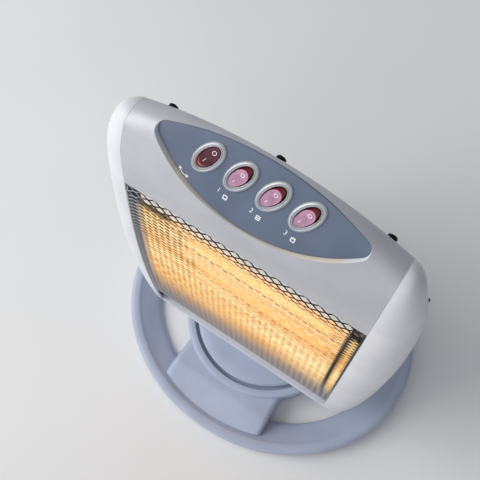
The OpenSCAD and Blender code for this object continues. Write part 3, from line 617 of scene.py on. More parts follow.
def circle(count: int) -> Array:
    """Returns evenly spread angles once round, the last one short of the first."""
    return np.linspace(0.0, 2 * np.pi, count, endpoint=False)


def signed_volume(points: Array, faces: Iterable[Array]) -> float:
    """Returns six times the signed volume: the sum of each fan triangle's triple product.

    Args:
        points: The points.
        faces: Faces, in groups of one size.

    Returns:
        The value, positive where the faces point outwards.
    """
    total = 0.0
    for group in faces:
        for k in range(1, group.shape[1] - 1):
            a, b, c = points[group[:, 0]], points[group[:, k]], points[group[:, k + 1]]
            total += float(np.einsum("ij,ij->", a, np.cross(b, c)))
    return total


def new_piece(name: str, points: Array, *faces: Array, crease: float = 35.0,
              paint: Optional[dict] = None) -> Piece:
    """Makes an object from points in millimetres.

    Args:
        name: The piece's name.
        points: Points, one a row.
        faces: Groups of faces, each group with as many corners a face as it has columns.
        crease: Edges that turn by more than this many degrees stay sharp.
        paint: Attribute name to one value a point.

    Returns:
        The object, at the origin, its faces turned outwards.
    """
    groups = [np.asarray(group, dtype=np.int64) for group in faces if len(group)]
    if signed_volume(points - points.mean(axis=0), groups) < 0:
        groups = [group[:, ::-1] for group in groups]
    mesh = bpy.data.meshes.new(name)
    mesh.vertices.add(len(points))
    mesh.vertices.foreach_set("co", (points * MM).astype(np.float32).ravel())
    sizes = np.concatenate([np.full(len(group), group.shape[1]) for group in groups])
    corners = np.concatenate([group.ravel() for group in groups])
    mesh.loops.add(len(corners))
    mesh.loops.foreach_set("vertex_index", corners.astype(np.int32))
    mesh.polygons.add(len(sizes))
    mesh.polygons.foreach_set("loop_start", (np.cumsum(sizes) - sizes).astype(np.int32))
    mesh.polygons.foreach_set("use_smooth", np.ones(len(sizes), dtype=bool))
    mesh.update(calc_edges=True)
    mesh.validate()
    mesh.set_sharp_from_angle(angle=math.radians(crease))
    for key, values in (paint or {}).items():
        layer = mesh.attributes.new(key, "FLOAT", "POINT")
        layer.data.foreach_set("value", np.asarray(values, dtype=np.float32))
    piece = bpy.data.objects.new(name, mesh)
    bpy.context.scene.collection.objects.link(piece)
    return piece


def loft(name: str, rows: Array, crease: float = 35.0, paint: Optional[dict] = None) -> Piece:
    """Makes a closed shape through closed loops, each end drawn to the middle of its last loop.

    Args:
        name: The piece's name.
        rows: Loops of points, (rows, points, 3).
        crease: Angle above which an edge stays sharp.
        paint: Attribute name to values, (rows, points).

    Returns:
        The object.
    """
    m, n, _ = rows.shape
    points = np.concatenate([rows.reshape(-1, 3), rows[0].mean(axis=0)[None], rows[-1].mean(axis=0)[None]])
    j = np.arange(n)
    on = (j + 1) % n
    first = np.stack([on, j, np.full(n, m * n)], axis=1)
    last = np.stack([(m - 1) * n + j, (m - 1) * n + on, np.full(n, m * n + 1)], axis=1)
    values = {key: np.concatenate([grid.ravel(), [grid[0].mean(), grid[-1].mean()]])
              for key, grid in (paint or {}).items()}
    return new_piece(name, points, loops(m, n, False, True), first, last, crease=crease, paint=values)


def prism(name: str, rows: Array, crease: float = 30.0) -> Piece:
    """Makes a closed shape through closed loops, (rows, points, 3), with a flat face at each end."""
    m, n, _ = rows.shape
    return new_piece(name, rows.reshape(-1, 3), loops(m, n, False, True), *end_caps(m, n), crease=crease)


def ring(name: str, path: Array, crease: float = 35.0) -> Piece:
    """Makes a closed ring: a closed profile carried round a closed path, (stations, points, 3)."""
    m, n, _ = path.shape
    return new_piece(name, path.reshape(-1, 3), loops(m, n, True, True), crease=crease)


def bars(name: str, grids: Sequence[Array], closed: Sequence[bool] = (), crease: float = 30.0,
         paint: Optional[dict] = None) -> Piece:
    """Makes one object of several bars, each a loop of corners carried along its stations.

    Args:
        name: The piece's name.
        grids: The bars' points, each (stations, corners, 3).
        closed: Whether each bar joins its own start, none of them if it is empty.
        crease: Angle above which an edge stays sharp.
        paint: Attribute name to one value a point.

    Returns:
        The object.
    """
    faces, count = [], 0
    for grid, joined in zip(grids, closed or [False] * len(grids)):
        m, n, _ = grid.shape
        groups = [loops(m, n, joined, True)] + ([] if joined else list(end_caps(m, n)))
        faces += [group + count for group in groups]
        count += m * n
    return new_piece(name, np.concatenate([grid.reshape(-1, 3) for grid in grids]), *faces, crease=crease,
                     paint=paint)


def revolve(name: str, profile: Array, steps: int = 192, crease: float = 35.0) -> Piece:
    """Makes a turned ring: profile point (r, z) becomes (r cos a, r sin a, z) for every angle a.

    Args:
        name: The piece's name.
        profile: Closed profile as rows of (r, z), clear of the axis.
        steps: Stations round the axis.
        crease: Angle above which an edge stays sharp.

    Returns:
        The object.
    """
    a = circle(steps)[:, None]
    r, z = profile.T[:, None]
    path = np.stack([r * np.cos(a), r * np.sin(a), z + 0 * a], axis=2)
    return ring(name, path, crease)


def rounded(corners: Sequence[tuple[float, float, float]], steps: int = 6) -> Array:
    """Rounds a closed outline's corners.

    Each corner (u, v, r) is cut where the two sides are r away from it, and the cut is filled with the
    curve (1-t)^2 a + 2 t (1-t) c + t^2 b between its ends a and b, with the corner c as its handle.

    Args:
        corners: The corners with their cuts.
        steps: Points along each curve.

    Returns:
        The outline's points.
    """
    table = np.array(corners, dtype=float)
    spot, cut = table[:, :2], table[:, 2]
    back = np.roll(spot, 1, axis=0) - spot
    ahead = np.roll(spot, -1, axis=0) - spot
    far_back, far_ahead = np.linalg.norm(back, axis=1), np.linalg.norm(ahead, axis=1)
    a = spot + back / far_back[:, None] * np.minimum(cut, far_back * 0.49)[:, None]
    b = spot + ahead / far_ahead[:, None] * np.minimum(cut, far_ahead * 0.49)[:, None]
    t = np.linspace(0.0, 1.0, steps)[None, :, None]
    curve = (1 - t) ** 2 * a[:, None] + 2 * t * (1 - t) * spot[:, None] + t ** 2 * b[:, None]
    return curve.reshape(-1, 2)


def coated(piece: Piece, material: Material) -> Piece:
    """Gives a piece its material and returns it."""
    piece.data.materials.append(material)
    return piece


def carve(piece: Piece, cutter: Piece, crease: float = 30.0, how: str = "DIFFERENCE") -> None:
    """Cuts the piece by another closed object, or joins the two, and removes that object.

    Args:
        piece: The object that changes.
        cutter: A closed object, whose faces bring their material.
        crease: Angle above which an edge stays sharp.
        how: DIFFERENCE, UNION or INTERSECT.
    """
    step = piece.modifiers.new("cut", "BOOLEAN")
    step.operation = how
    step.solver = "EXACT"
    step.material_mode = "TRANSFER"
    step.object = cutter
    bpy.context.view_layer.update()
    shape = bpy.data.meshes.new_from_object(piece.evaluated_get(bpy.context.evaluated_depsgraph_get()))
    piece.modifiers.remove(step)
    piece.data = shape
    shape.set_sharp_from_angle(angle=math.radians(crease))
    bpy.data.objects.remove(cutter, do_unlink=True)


def merged_copy(name: str, node: str, frame: dict, crease: float = 30.0) -> Piece:
    """Makes a smooth-shaded copy of a CAD node's mesh, with its doubled points merged.

    Args:
        name: The copy's name.
        node: The node's name.
        frame: The loaded frame.
        crease: Angle above which an edge stays sharp.

    Returns:
        The object, at the origin.
    """
    source = frame["nodes"][node]
    mesh = source.data
    points = np.empty(len(mesh.vertices) * 3, dtype=np.float32)
    mesh.vertices.foreach_get("co", points)
    mesh.calc_loop_triangles()
    corners = np.empty(len(mesh.loop_triangles) * 3, dtype=np.int32)
    mesh.loop_triangles.foreach_get("vertices", corners)
    turn = np.array(source.matrix_world)
    spots = points.reshape(-1, 3) @ turn[:3, :3].T + turn[:3, 3]
    cells = np.round(spots / MERGE_M).astype(np.int64)
    unique, index = np.unique(cells, axis=0, return_inverse=True)
    faces = index.ravel()[corners].reshape(-1, 3)
    whole = (faces != np.roll(faces, 1, axis=1)).all(axis=1)
    return new_piece(name, unique * MERGE_M / MM, faces[whole], crease=crease)


def finish_piece(piece: Piece, body: Body, slot: str, material: Optional[Material] = None,
                 stands_for: Sequence[str] = ()) -> None:
    """Dresses a piece and hands it to the frame.

    Args:
        piece: The object.
        body: What it moves with.
        slot: The record's material slot; not used.
        material: Its material, or None where it already has its own.
        stands_for: The CAD nodes that it replaces.
    """
    if material:
        piece.data.materials.clear()
        coated(piece, material)
    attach(piece, body.value)
    if stands_for:
        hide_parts(*stands_for)
    LOG.info("%s rides on %s, %d faces", piece.name, body.value, len(piece.data.polygons))


# -------------------------------------------------------------------------------------- head shapes


def smooth(t: Array) -> Array:
    """Returns 3 t^2 - 2 t^3, with t held between 0 and 1."""
    t = np.clip(t, 0.0, 1.0)
    return t * t * (3 - 2 * t)


@dataclass(frozen=True)
class HeadOutline:
    """The head's outline seen from the side, in millimetres, and what the covers share."""

    shoulder_z: float = 315.0
    seam_x: float = 109.0
    bottom: float = 57.0
    edge_r: float = 16.0
    belly_y: float = 58.5
    belly_z: float = 85.0
    front_r: float = 1420.0
    crest_r: float = 16.5
    crest_y: float = 3.5
    crest_z: float = 423.0
    rear_y: float = 46.0
    rear_tuck: float = 12.0
    rear_hip: float = 145.0
    blend_low: float = 399.0
    blend_angle: float = 143.0
    wall: float = 2.2
    seam_gap: float = 0.2
    band_z: float = 372.6
    lip_z: float = 370.6
    grille_bottom: float = 72.0

    def edge_inset(self, z: Array, off: float) -> Array:
        """Returns how far the rounded lower edge draws the outline in, r - sqrt(r^2 - d^2).

        Args:
            z: Heights, mm.
            off: Depth under the outer surface, mm.

        Returns:
            The inset, mm.
        """
        r = self.edge_r - off
        d = np.maximum(0.0, self.bottom + self.edge_r - z)
        return r - np.sqrt(np.maximum(0.0, r * r - d * d))

    def crest(self, off: float, degrees: Array) -> tuple[Array, Array]:
        """Returns (y, z) on the crest's circle at an angle."""
        a, r = np.radians(degrees), self.crest_r - off
        return self.crest_y + r * np.cos(a), self.crest_z + r * np.sin(a)

    @property
    def crest_top(self) -> float:
        """Returns the crest's greatest height."""
        return self.crest_z + self.crest_r

    def crest_half(self, z: Array, off: float) -> Array:
        """Returns half the crest's width at height z, sqrt(r^2 - (z - centre)^2)."""
        return np.sqrt(np.maximum(0.0, (self.crest_r - off) ** 2 - (z - self.crest_z) ** 2))

    def front_y(self, z: Array, off: float) -> Array:
        """Returns the front's y at height z.

        It is a shallow arc -belly_y + (z - belly_z)^2 / 2 front_r up to blend_low, then a cubic that meets
        the crest's circle with its own slope, then that circle.

        Args:
            z: Heights, mm.
            off: Depth under the outer surface, mm.

        Returns:
            The y values, mm.
        """
        z = np.asarray(z, dtype=float)
        arc = -self.belly_y + np.maximum(0.0, z - self.belly_z) ** 2 / (2 * self.front_r) + off
        top_y, top_z = self.crest(off, self.blend_angle)
        rise = top_z - self.blend_low
        t = np.clip((z - self.blend_low) / rise, 0.0, 1.0)
        start = -self.belly_y + (self.blend_low - self.belly_z) ** 2 / (2 * self.front_r) + off
        slope_start = (self.blend_low - self.belly_z) / self.front_r * rise
        slope_end = rise / math.tan(math.radians(self.blend_angle - 90))
        cubic = ((2 * t ** 3 - 3 * t ** 2 + 1) * start + (t ** 3 - 2 * t ** 2 + t) * slope_start
                 + (3 * t ** 2 - 2 * t ** 3) * top_y + (t ** 3 - t ** 2) * slope_end)
        return np.where(z <= self.blend_low, arc + self.edge_inset(z, off),
                        np.where(z < top_z, cubic, self.crest_y - self.crest_half(z, off)))

    def back_y(self, z: Array, off: float) -> Array:
        """Returns the back's y at height z: the crest's circle, a shoulder, the wall and its tuck.

        Args:
            z: Heights, mm.
            off: Depth under the outer surface, mm.

        Returns:
            The y values, mm.
        """
        z = np.asarray(z, dtype=float)
        start = self.crest_y + self.crest_r
        drop = (self.crest_z - z) / (self.crest_z - self.shoulder_z)
        high = start + (self.rear_y - start) * smooth(drop)
        low = self.rear_y - self.rear_tuck * smooth((self.rear_hip - z) / (self.rear_hip - self.bottom))
        wall = np.where(z >= self.shoulder_z, high, low) - off - self.edge_inset(z, off)
        return np.where(z > self.crest_z, self.crest_y + self.crest_half(z, off), wall)

    def rows(self, off: float) -> Array:
        """Returns the heights that a cover's rows follow, close together where the outline bends.

        Args:
            off: Depth under the outer surface, mm.

        Returns:
            Heights, mm.
        """
        r = self.edge_r - off
        low = self.bottom + self.edge_r
        high = self.crest(off, self.blend_angle)[1]
        edge = low - r * np.cos(np.radians(np.arange(0.0, 85.0, 7.5)))
        middle = np.linspace(low, self.blend_low, 64)
        upper = np.linspace(self.blend_low, high, 14)[1:]
        crest = self.crest(off, np.linspace(self.blend_angle, 90.6, 30))[1][1:]
        return np.concatenate([edge, middle, upper, crest])


OUTLINE = HeadOutline()


@dataclass(frozen=True)
class PanelPlane:
    """The sloped plane of the control panel. Its own x runs along X, y up the slope and n out of it."""

    height: float = 445.0
    slope: float = 43.0
    front_r: float = 125.0
    back_r: float = 230.0
    tip_r: float = 7.0
    fore: float = 34.3
    aft: float = 21.3
    pitch: float = 26.0
    shift: float = -2.0
    turn: float = 32.0
    arc_steps: int = 120
    tip_steps: int = 16

    def lift(self, x: Array, y: Array, n: Array) -> Array:
        """Returns points of the panel's plane in the head's frame.

        Args:
            x: Across.
            y: Along.
            n: Out of the plane, mm.

        Returns:
            The points, mm.
        """
        a = math.radians(self.slope)
        return np.stack([x + 0 * y, y * math.cos(a) - n * math.sin(a),
                         self.height + y * math.sin(a) + n * math.cos(a)], axis=-1)

    def lift_switch(self, switch: Switch, x: Array, y: Array, n: Array) -> Array:
        """Returns points of one switch's own plane, its long axis along y, in the head's frame.

        Args:
            switch: The switch.
            x: Across.
            y: Along.
            n: Out of the plane, mm.

        Returns:
            The points, mm.
        """
        a = math.radians(-self.turn)
        place = self.shift + (switch.value - 1.5) * self.pitch
        return self.lift(place + x * math.cos(a) - y * math.sin(a), x * math.sin(a) + y * math.cos(a), n)

    def leaf(self, grow: float, front: float = 0.0, back: float = 0.0) -> Array:
        """Returns the leaf's outline: a front arc, a back arc and two round tips.

        Args:
            grow: How far the whole outline is set outwards.
            front: How much longer the front arc's radius is.
            back: How much longer the back arc's radius is.

        Returns:
            The outline's points.
        """
        front_c, back_c = self.front_r - self.fore, self.aft - self.back_r
        f, b = self.front_r + front - self.tip_r, self.back_r + back - self.tip_r
        ty = (front_c ** 2 - back_c ** 2 + b * b - f * f) / (2 * (front_c - back_c))
        tx = math.sqrt(f * f - (ty - front_c) ** 2)
        fa, ba = math.atan2(ty - front_c, tx), math.atan2(ty - back_c, tx)
        parts = []
        for (cx, cy, r, a0, a1, count) in (
                (0.0, front_c, self.front_r + front, -math.pi - fa, fa, self.arc_steps),
                (tx, ty, self.tip_r, fa, ba, self.tip_steps),
                (0.0, back_c, self.back_r + back, ba, math.pi - ba, self.arc_steps),
                (-tx, ty, self.tip_r, math.pi - ba, math.pi - fa, self.tip_steps)):
            a = np.linspace(a0, a1, count, endpoint=False)
            parts.append(np.stack([cx + (r + grow) * np.cos(a), cy + (r + grow) * np.sin(a)], axis=1))
        return np.concatenate(parts)

    def leaves(self, rows: Iterable[tuple[float, float]]) -> Array:
        """Returns loops of the leaf for rows of (outline growth, height n), in the head's frame."""
        return np.array([self.lift(*self.leaf(grow).T, np.array(n)) for grow, n in rows])


PLANE = PanelPlane()


@dataclass(frozen=True)
class SideCover:
    """A moulded end cover: full rounded sections from the front lip to the rear lip, closed at the crest."""

    side: int
    front_power: float = 0.87
    rear_power: float = 1.18
    swell_mm: float = 38.0
    zone: float = 200.0
    ease: float = 1.46
    bend: float = 0.356
    foot_zone: float = 123.0
    foot_share: float = 0.16
    least: float = 0.3
    steps: int = 72
    recess_r: float = 4.6
    seat: float = 7.0
    screw_places: tuple[tuple[float, float], ...] = ((363.0, 17.0), (112.0, -4.0))

    def swell(self, z: Array, off: float) -> Array:
        """Returns how far the cover stands past the seam, less at the foot.

        It is (1 - (1 - d)^ease)^bend of the swell, where d runs from 0 at the crest to 1 down the zone.

        Args:
            z: Heights, mm.
            off: Depth under the outer surface, mm.

        Returns:
            The distance, mm.
        """
        z = np.asarray(z, dtype=float)
        d = np.clip((OUTLINE.crest_top - z) / self.zone, 0.0, 1.0)
        foot = np.clip((OUTLINE.bottom + self.foot_zone - z) / self.foot_zone, 0.0, 1.0)
        full = self.swell_mm * ((1 - (1 - d) ** self.ease) ** self.bend - self.foot_share * foot ** 2)
        return np.maximum(full - off, self.least * full) - OUTLINE.edge_inset(z, off)

    def surface(self, off: float) -> Array:
        """Returns the wall's grid: x = seam + e sin(a)^p, y = middle - half cos(a)^p, row by row of height.

        The power p is below 1 on the front half, which is full, and above 1 behind, where it falls away.

        Args:
            off: Depth under the outer surface, mm.

        Returns:
            The grid of points, mm.
        """
        z = OUTLINE.rows(off)[:, None]
        a = np.linspace(0.0, np.pi, self.steps)[None]
        power = np.where(np.cos(a) > 0, self.front_power, self.rear_power)
        front, back = OUTLINE.front_y(z, off), OUTLINE.back_y(z, off)
        x = OUTLINE.seam_x + self.swell(z, off) * np.maximum(0.0, np.sin(a)) ** power
        y = (front + back) / 2 - (back - front) / 2 * np.sign(np.cos(a)) * np.abs(np.cos(a)) ** power
        return np.stack([self.side * x, y, np.broadcast_to(z, x.shape)], axis=2)

    def build(self) -> Piece:
        """Returns the cover: outer and inner wall, the seam's lip between them, and the screws' recesses.

        Returns:
            The object.
        """
        outer, inner = self.surface(0.0), self.surface(OUTLINE.wall)
        m, n, _ = outer.shape
        k, last = m * n, (m - 1) * n
        tops = [[self.side * OUTLINE.seam_x, OUTLINE.crest_y, OUTLINE.crest_top - off]
                for off in (0.0, OUTLINE.wall)]
        points = np.concatenate([outer.reshape(-1, 3), inner.reshape(-1, 3), tops])
        skin = loops(m, n, False, False)
        j = np.arange(n - 1)
        fan = np.stack([last + j, last + j + 1, np.full(n - 1, 2 * k)], axis=1)
        inner_fan = np.stack([k + last + j + 1, k + last + j, np.full(n - 1, 2 * k + 1)], axis=1)
        front = side_wall(m, n, k)
        rear = front[:, [1, 0, 3, 2]] + n - 1
        lips = np.array([[last, 2 * k, 2 * k + 1, k + last],
                         [2 * k, k - 1, 2 * k - 1, 2 * k + 1],
                         [n - 1, 0, k, k + n - 1]])
        floor = np.arange(n - 1, -1, -1)[None]
        piece = new_piece(f"side_cover_{'right' if self.side > 0 else 'left'}_shell", points, skin,
                          k + skin[:, ::-1], fan, inner_fan, front, rear, lips, floor, k + floor[:, ::-1])
        for height, depth in self.screw_places:
            carve(piece, self.recess(height, depth))
        return piece

    def seat_x(self, height: float) -> float:
        """Returns how far from the middle a recess's floor is at a height."""
        return OUTLINE.seam_x + float(self.swell(height, 0.0)) - self.seat

    def recess(self, height: float, depth: float) -> Piece:
        """Returns the cutter of one screw's recess: a round plug along X with a small fillet at its floor.

        Args:
            height: The screw's z, mm.
            depth: The screw's y, mm.

        Returns:
            The object.
        """
        floor, a = self.seat_x(height), circle(48)
        rows = [(floor, 0.6), (floor + 0.1, 0.3), (floor + 0.4, 0.0), (floor + 30, 0.0)]
        grid = [np.stack([np.full_like(a, self.side * x), depth + (self.recess_r - cut) * np.cos(a),
                          height + (self.recess_r - cut) * np.sin(a)], axis=1) for x, cut in rows]
        return loft("recess", np.array(grid))


@dataclass(frozen=True)
class TopCover:
    """The silver centre cover: the seams' outline lifted and pushed out towards mid-width.

    Its pocket's walls lean outwards by the draft, as a share of height, and by draft plus tip_draft at the
    tips, which start tip_from from the middle.
    """

    lift: float = 22.0
    lift_loss: float = 2.0
    shift: float = 2.0
    push: float = 10.0
    flat: float = 3.0
    front_mid: float = 420.0
    columns: int = 121
    draft: float = 0.5
    tip_draft: float = -0.2
    tip_from: float = 58.0
    tip_zone: float = 24.0
    draft_top: float = 6.0
    pocket_rows: tuple[float, ...] = (-2.02, 0.0, 3.0, 6.0, 40.0)
    screw_x: float = 89.0
    screw_gap: float = 0.45
    floor: float = 4.0
    rim_high: float = 2.0
    rim_reach: float = 4.0
    rim_back: float = -1.7
    rim_under: float = 0.8
    pocket_crease: float = 28.0

    def seam(self, off: float) -> Array:
        """Returns the outline (y, z) at a seam, from the front lip over the crest to the rear lip.

        Args:
            off: Depth under the outer surface, mm.

        Returns:
            The points, mm.
        """
        top = float(OUTLINE.crest(off, OUTLINE.blend_angle)[1])
        low = np.linspace(OUTLINE.lip_z, OUTLINE.blend_low, 18)
        rise = np.linspace(OUTLINE.blend_low, top, 18)[1:]
        front = np.concatenate([low, rise])
        over = np.stack(OUTLINE.crest(off, np.linspace(OUTLINE.blend_angle, 0.0, 66)[1:]), axis=1)
        rear = np.linspace(OUTLINE.crest_z, OUTLINE.lip_z, 20)[1:]
        return np.concatenate([np.stack([OUTLINE.front_y(front, off), front], axis=1), over,
                               np.stack([OUTLINE.back_y(rear, off), rear], axis=1)])

    def move(self, y: Array, z: Array) -> tuple[Array, Array, Array, Array]:
        """Returns how far each outline point is carried at mid-width: back, up, its fall-off, and forward.

        Args:
            y: The outline's y, mm.
            z: The outline's z, mm.

        Returns:
            The four, one value a point.
        """
        band = np.clip((z - OUTLINE.band_z) / (self.front_mid - OUTLINE.band_z), 0.0, 1.0)
        plain = np.clip((z - self.front_mid) / (OUTLINE.crest_top - self.front_mid), 0.0, 1.0)
        s = smooth(plain)
        over = (y - OUTLINE.crest_y) / OUTLINE.crest_r
        fade = 1 - smooth((OUTLINE.crest_z - z) / (OUTLINE.crest_z - OUTLINE.band_z))
        front = y < OUTLINE.crest_y
        places = [front & (z < self.front_mid), front, z > OUTLINE.crest_z]
        back = np.select(places, [0 * z, self.shift * s, self.shift * (1 + over)], 2 * self.shift * fade)
        up = np.select(places, [0 * z, self.lift * s, self.lift - self.lift_loss * over],
                       (self.lift - self.lift_loss) * fade)
        fall = np.select(places, [1 + 0 * z, 1 - plain, 0 * z], 0 * z)
        forward = np.select(places, [self.push * band ** 1.5, self.push * (1 - s), 0 * z], 0 * z)
        return back, up, fall, forward

    def surface(self, off: float, half: float) -> Array:
        """Returns the wall's grid, column by column of x.

        A point is the seam's point, plus back and up times (1 - (x / seam)^2)^(1 + fall), less forward
        times 1 - |x / seam|^flat.

        Args:
            off: Depth under the outer surface.
            half: Half the grid's width.

        Returns:
            Points, (columns, outline points, 3).
        """
        x = np.linspace(-half, half, self.columns)[:, None]
        y, z = self.seam(off).T[:, None]
        back, up, fall, forward = self.move(y, z)
        share = (1 - (x / OUTLINE.seam_x) ** 2) ** (1 + fall)
        ahead = (1 - np.abs(x / OUTLINE.seam_x) ** self.flat) * forward
        return np.stack([np.broadcast_to(x, share.shape), y + share * back - ahead, z + share * up], axis=2)

    def screw_place(self, x: float) -> Array:
        """Returns where the surface behind the crown carries a screw.

        Args:
            x: The screw's x, mm.

        Returns:
            The place, mm.
        """
        share = max(0.0, 1 - (x / OUTLINE.seam_x) ** 2)
        return np.array([x, OUTLINE.crest_y + OUTLINE.crest_r + 2 * self.shift * share,
                         OUTLINE.crest_z + (self.lift - self.lift_loss) * share])

    def rim(self, bare: Material) -> Piece:
        """Returns the pocket's floor and rim: a leaf-shaped block, kept under the cover's outer surface.

        Args:
            bare: The pocket's material.

        Returns:
            The object.
        """
        leaf = PLANE.leaf(0.0, self.rim_reach, self.rim_back).T
        grid = [PLANE.lift(*leaf, np.array(n)) for n in (-self.floor, self.rim_high)]
        block = coated(loft("rim", np.array(grid)), bare)
        crown = self.surface(self.rim_under, OUTLINE.seam_x - OUTLINE.seam_gap - 0.5)
        carve(block, coated(prism("crown_body", crown, 35.0), bare), how="INTERSECT")
        return block

    def pocket(self) -> Piece:
        """Returns the cutter of the panel's pocket: the leaf, drafted outwards as it rises.

        A loop at height n grows by the draft times n, up to draft_top, and by less draft at the tips.

        Returns:
            The object.
        """
        flat = PLANE.leaf(0.0)
        outwards = PLANE.leaf(1.0) - flat
        tips = smooth((np.abs(flat[:, 0]) - self.tip_from) / self.tip_zone)
        share = (self.draft + self.tip_draft * tips)[:, None]
        grid = [PLANE.lift(*(flat + min(max(0.0, n), self.draft_top) * share * outwards).T, np.array(n))
                for n in self.pocket_rows]
        return loft("pocket", np.array(grid))

    def build(self, painted: Material, bare: Material) -> Piece:
        """Returns the cover with its rimmed, drafted pocket for the panel, cut out for the switches' boxes.

        Args:
            painted: The silver finish.
            bare: The finish of the pocket's wall and floor.

        Returns:
            The object.
        """
        half = OUTLINE.seam_x - OUTLINE.seam_gap
        outer, inner = self.surface(0.0, half), self.surface(OUTLINE.wall, half)
        rows = np.concatenate([outer, inner[:, ::-1]], axis=1)
        m, n, _ = rows.shape
        j = np.arange(n // 2 - 1)
        ends = np.stack([j, j + 1, n - 2 - j, n - 1 - j], axis=1)
        piece = new_piece("top_cover_shell", rows.reshape(-1, 3), loops(m, n, False, True), ends[:, ::-1],
                          (m - 1) * n + ends)
        carve(coated(piece, painted), self.rim(bare), how="UNION")
        for cutter in [self.pocket()] + [Panel().hole(switch, *Panel.cover_hole) for switch in Switch]:
            carve(piece, coated(cutter, bare), self.pocket_crease)
        return piece


@dataclass(frozen=True)
class Panel:
    """The control panel, the four switches and the prints.

    A switch's bezel and opening have a long and a wide size. The fillet's rows are (leaf's growth, height),
    the rim's are (longer, wider, height) from the opening on, a hole is (shorter, narrower, depth) from the
    bezel in, a face's rows are (share, shine) and a barrel's are (share, height). The marks' places are the
    I's and the O's middle along the rocker, and the signs' places are degrees round the switch.
    """

    bezel_l: float = 30.2
    bezel_w: float = 18.6
    opening_l: float = 21.8
    opening_w: float = 11.3
    depth: float = 14.0
    tilt: float = 9.0
    play: float = 0.3
    dip: float = 2.0
    pivot: float = -0.2
    vee: float = 0.16
    reach_full: float = 0.955
    reach_off: float = 0.66
    reach_lit: float = 0.725
    face_wide: float = 0.93
    wall_wide: float = 0.955
    wall_long: float = 0.96
    wall_drop: float = 3.3
    edge_drop: float = 0.12
    box_step: tuple[float, float] = (5.0, 4.0)
    box_end: tuple[float, float] = (8.0, 7.0)
    panel_hole: tuple[float, float, float] = (4.6, 3.6, 6.0)
    cover_hole: tuple[float, float, float] = (3.6, 3.2, 8.0)
    fillet: tuple[tuple[float, float], ...] = ((-0.15, -2.0), (-0.15, -0.5), (-0.22, -0.2), (-0.4, -0.04),
                                               (-0.7, 0.0))
    rim: tuple[tuple[float, float, float], ...] = (
        (0.0, 0.0, 0.6), (0.15, 0.15, 1.1), (0.6, 0.5, 1.3), (0.9, 0.7, 1.32), (1.1, 0.9, 1.75),
        (1.6, 1.3, 1.98), (2.5, 2.1, 1.95), (2.8, 2.4, 1.4), (3.3, 2.9, 1.35), (3.7, 3.2, 1.8),
        (4.4, 3.8, 1.92), (5.8, 5.1, 1.7), (7.2, 6.2, 1.25), (8.0, 6.9, 0.75))
    face_rows: tuple[tuple[float, float], ...] = ((0.12, 0.0), (0.35, 0.0), (0.55, 0.0), (0.75, 0.0),
                                                  (0.9, 0.0), (0.955, 0.15), (0.985, 1.0))
    wall_rows: tuple[float, ...] = (0.0, 0.04, 0.12, 0.3, 0.55, 0.8, 1.0)
    barrel_rows: tuple[tuple[float, float], ...] = ((0.95, -1.9), (0.85, -3.4), (0.5, -4.9))
    marks_off: tuple[float, float] = (-3.0, 5.7)
    marks_lit: tuple[float, float] = (-5.7, 3.3)
    mark_size: tuple[float, float] = (1.35, 1.45)
    mark_line: float = 0.46
    sign_turn: float = 31.0
    sign_r: float = 20.2
    sign_half: float = 1.4
    sign_line: float = 0.8
    sign_at: tuple[float, ...] = (0.0, -70.6, -68.5, -63.2)
    sign_level: tuple[float, ...] = (0.0, -1.0, 0.0, 0.8)
    digit_back: float = 19.0
    digit_turn: float = 23.0
    digit_size: float = 5.0
    bow: tuple[tuple[float, float], ...] = ((-5.5, -23.4), (-0.2, -26.4), (3.9, -22.2))
    bow_line: float = 0.62
    arrow: tuple[float, float] = (1.9, 1.1)
    print_high: float = 0.05

    def oval(self, switch: Switch, long: float, wide: float, n: float) -> Array:
        """Returns an oval of a full length and width at height n over the panel."""
        a = circle(96)
        return PLANE.lift_switch(switch, wide / 2 * np.cos(a), long / 2 * np.sin(a), np.full_like(a, n))

    def hole(self, switch: Switch, shorter: float, narrower: float, deep: float) -> Piece:
        """Returns an oval cutter for a switch's box, that much shorter and narrower than its bezel."""
        rows = [self.oval(switch, self.bezel_l - shorter, self.bezel_w - narrower, n) for n in (-deep, 3.0)]
        return loft("hole", np.array(rows))

    def plate(self) -> Piece:
        """Returns the panel: the leaf with a small fillet, cut out for the four switches.

        Returns:
            The object.
        """
        piece = prism("control_panel_leaf", PLANE.leaves(self.fillet))
        for switch in Switch:
            carve(piece, self.hole(switch, *self.panel_hole))
        return piece

    def bezel(self, switch: Switch) -> Piece:
        """Returns a switch body: opening wall, crowned rim, flange and box, as one closed shape.

        Args:
            switch: The switch.

        Returns:
            The object.
        """
        long, wide, floor = self.bezel_l, self.bezel_w, -self.depth
        profile = [(self.opening_l - 2, self.opening_w - 2, floor + 1.2),
                   (self.opening_l, self.opening_w, floor + 1.2)]
        profile += [(self.opening_l + dl, self.opening_w + dw, n) for dl, dw, n in self.rim]
        profile += [(long, wide, 0.35), (long, wide, 0.02)]
        profile += [(long - self.box_step[0], wide - self.box_step[1], n) for n in (0.02, floor)]
        profile += [(long - self.box_end[0], wide - self.box_end[1], floor)]
        rows = np.array([self.oval(switch, *row) for row in profile])
        return loft(f"bezel_{switch.name.lower()}", rows, crease=38.0)

    def rocker_points(self, switch: Switch, x: Array, y: Array, n: Array) -> Array:
        """Returns points of a rocker's own frame, tilted about the switch's x axis as it is at rest.

        Args:
            switch: The switch.
            x: Across.
            y: Along.
            n: Out of the plane, mm.

        Returns:
            The points, mm.
        """
        a = math.radians(self.tilt if switch.lit else -self.tilt)
        return PLANE.lift_switch(switch, x, y * math.cos(a) - n * math.sin(a),
                                 self.pivot + y * math.sin(a) + n * math.cos(a))

    def face_height(self, y: Array) -> Array:
        """Returns the rocker's face, two slopes in a soft V: dip + tan(tilt) sqrt(y^2 + 1) - vee."""
        return self.dip + math.tan(math.radians(self.tilt)) * np.sqrt(y * y + 1.0) - self.vee

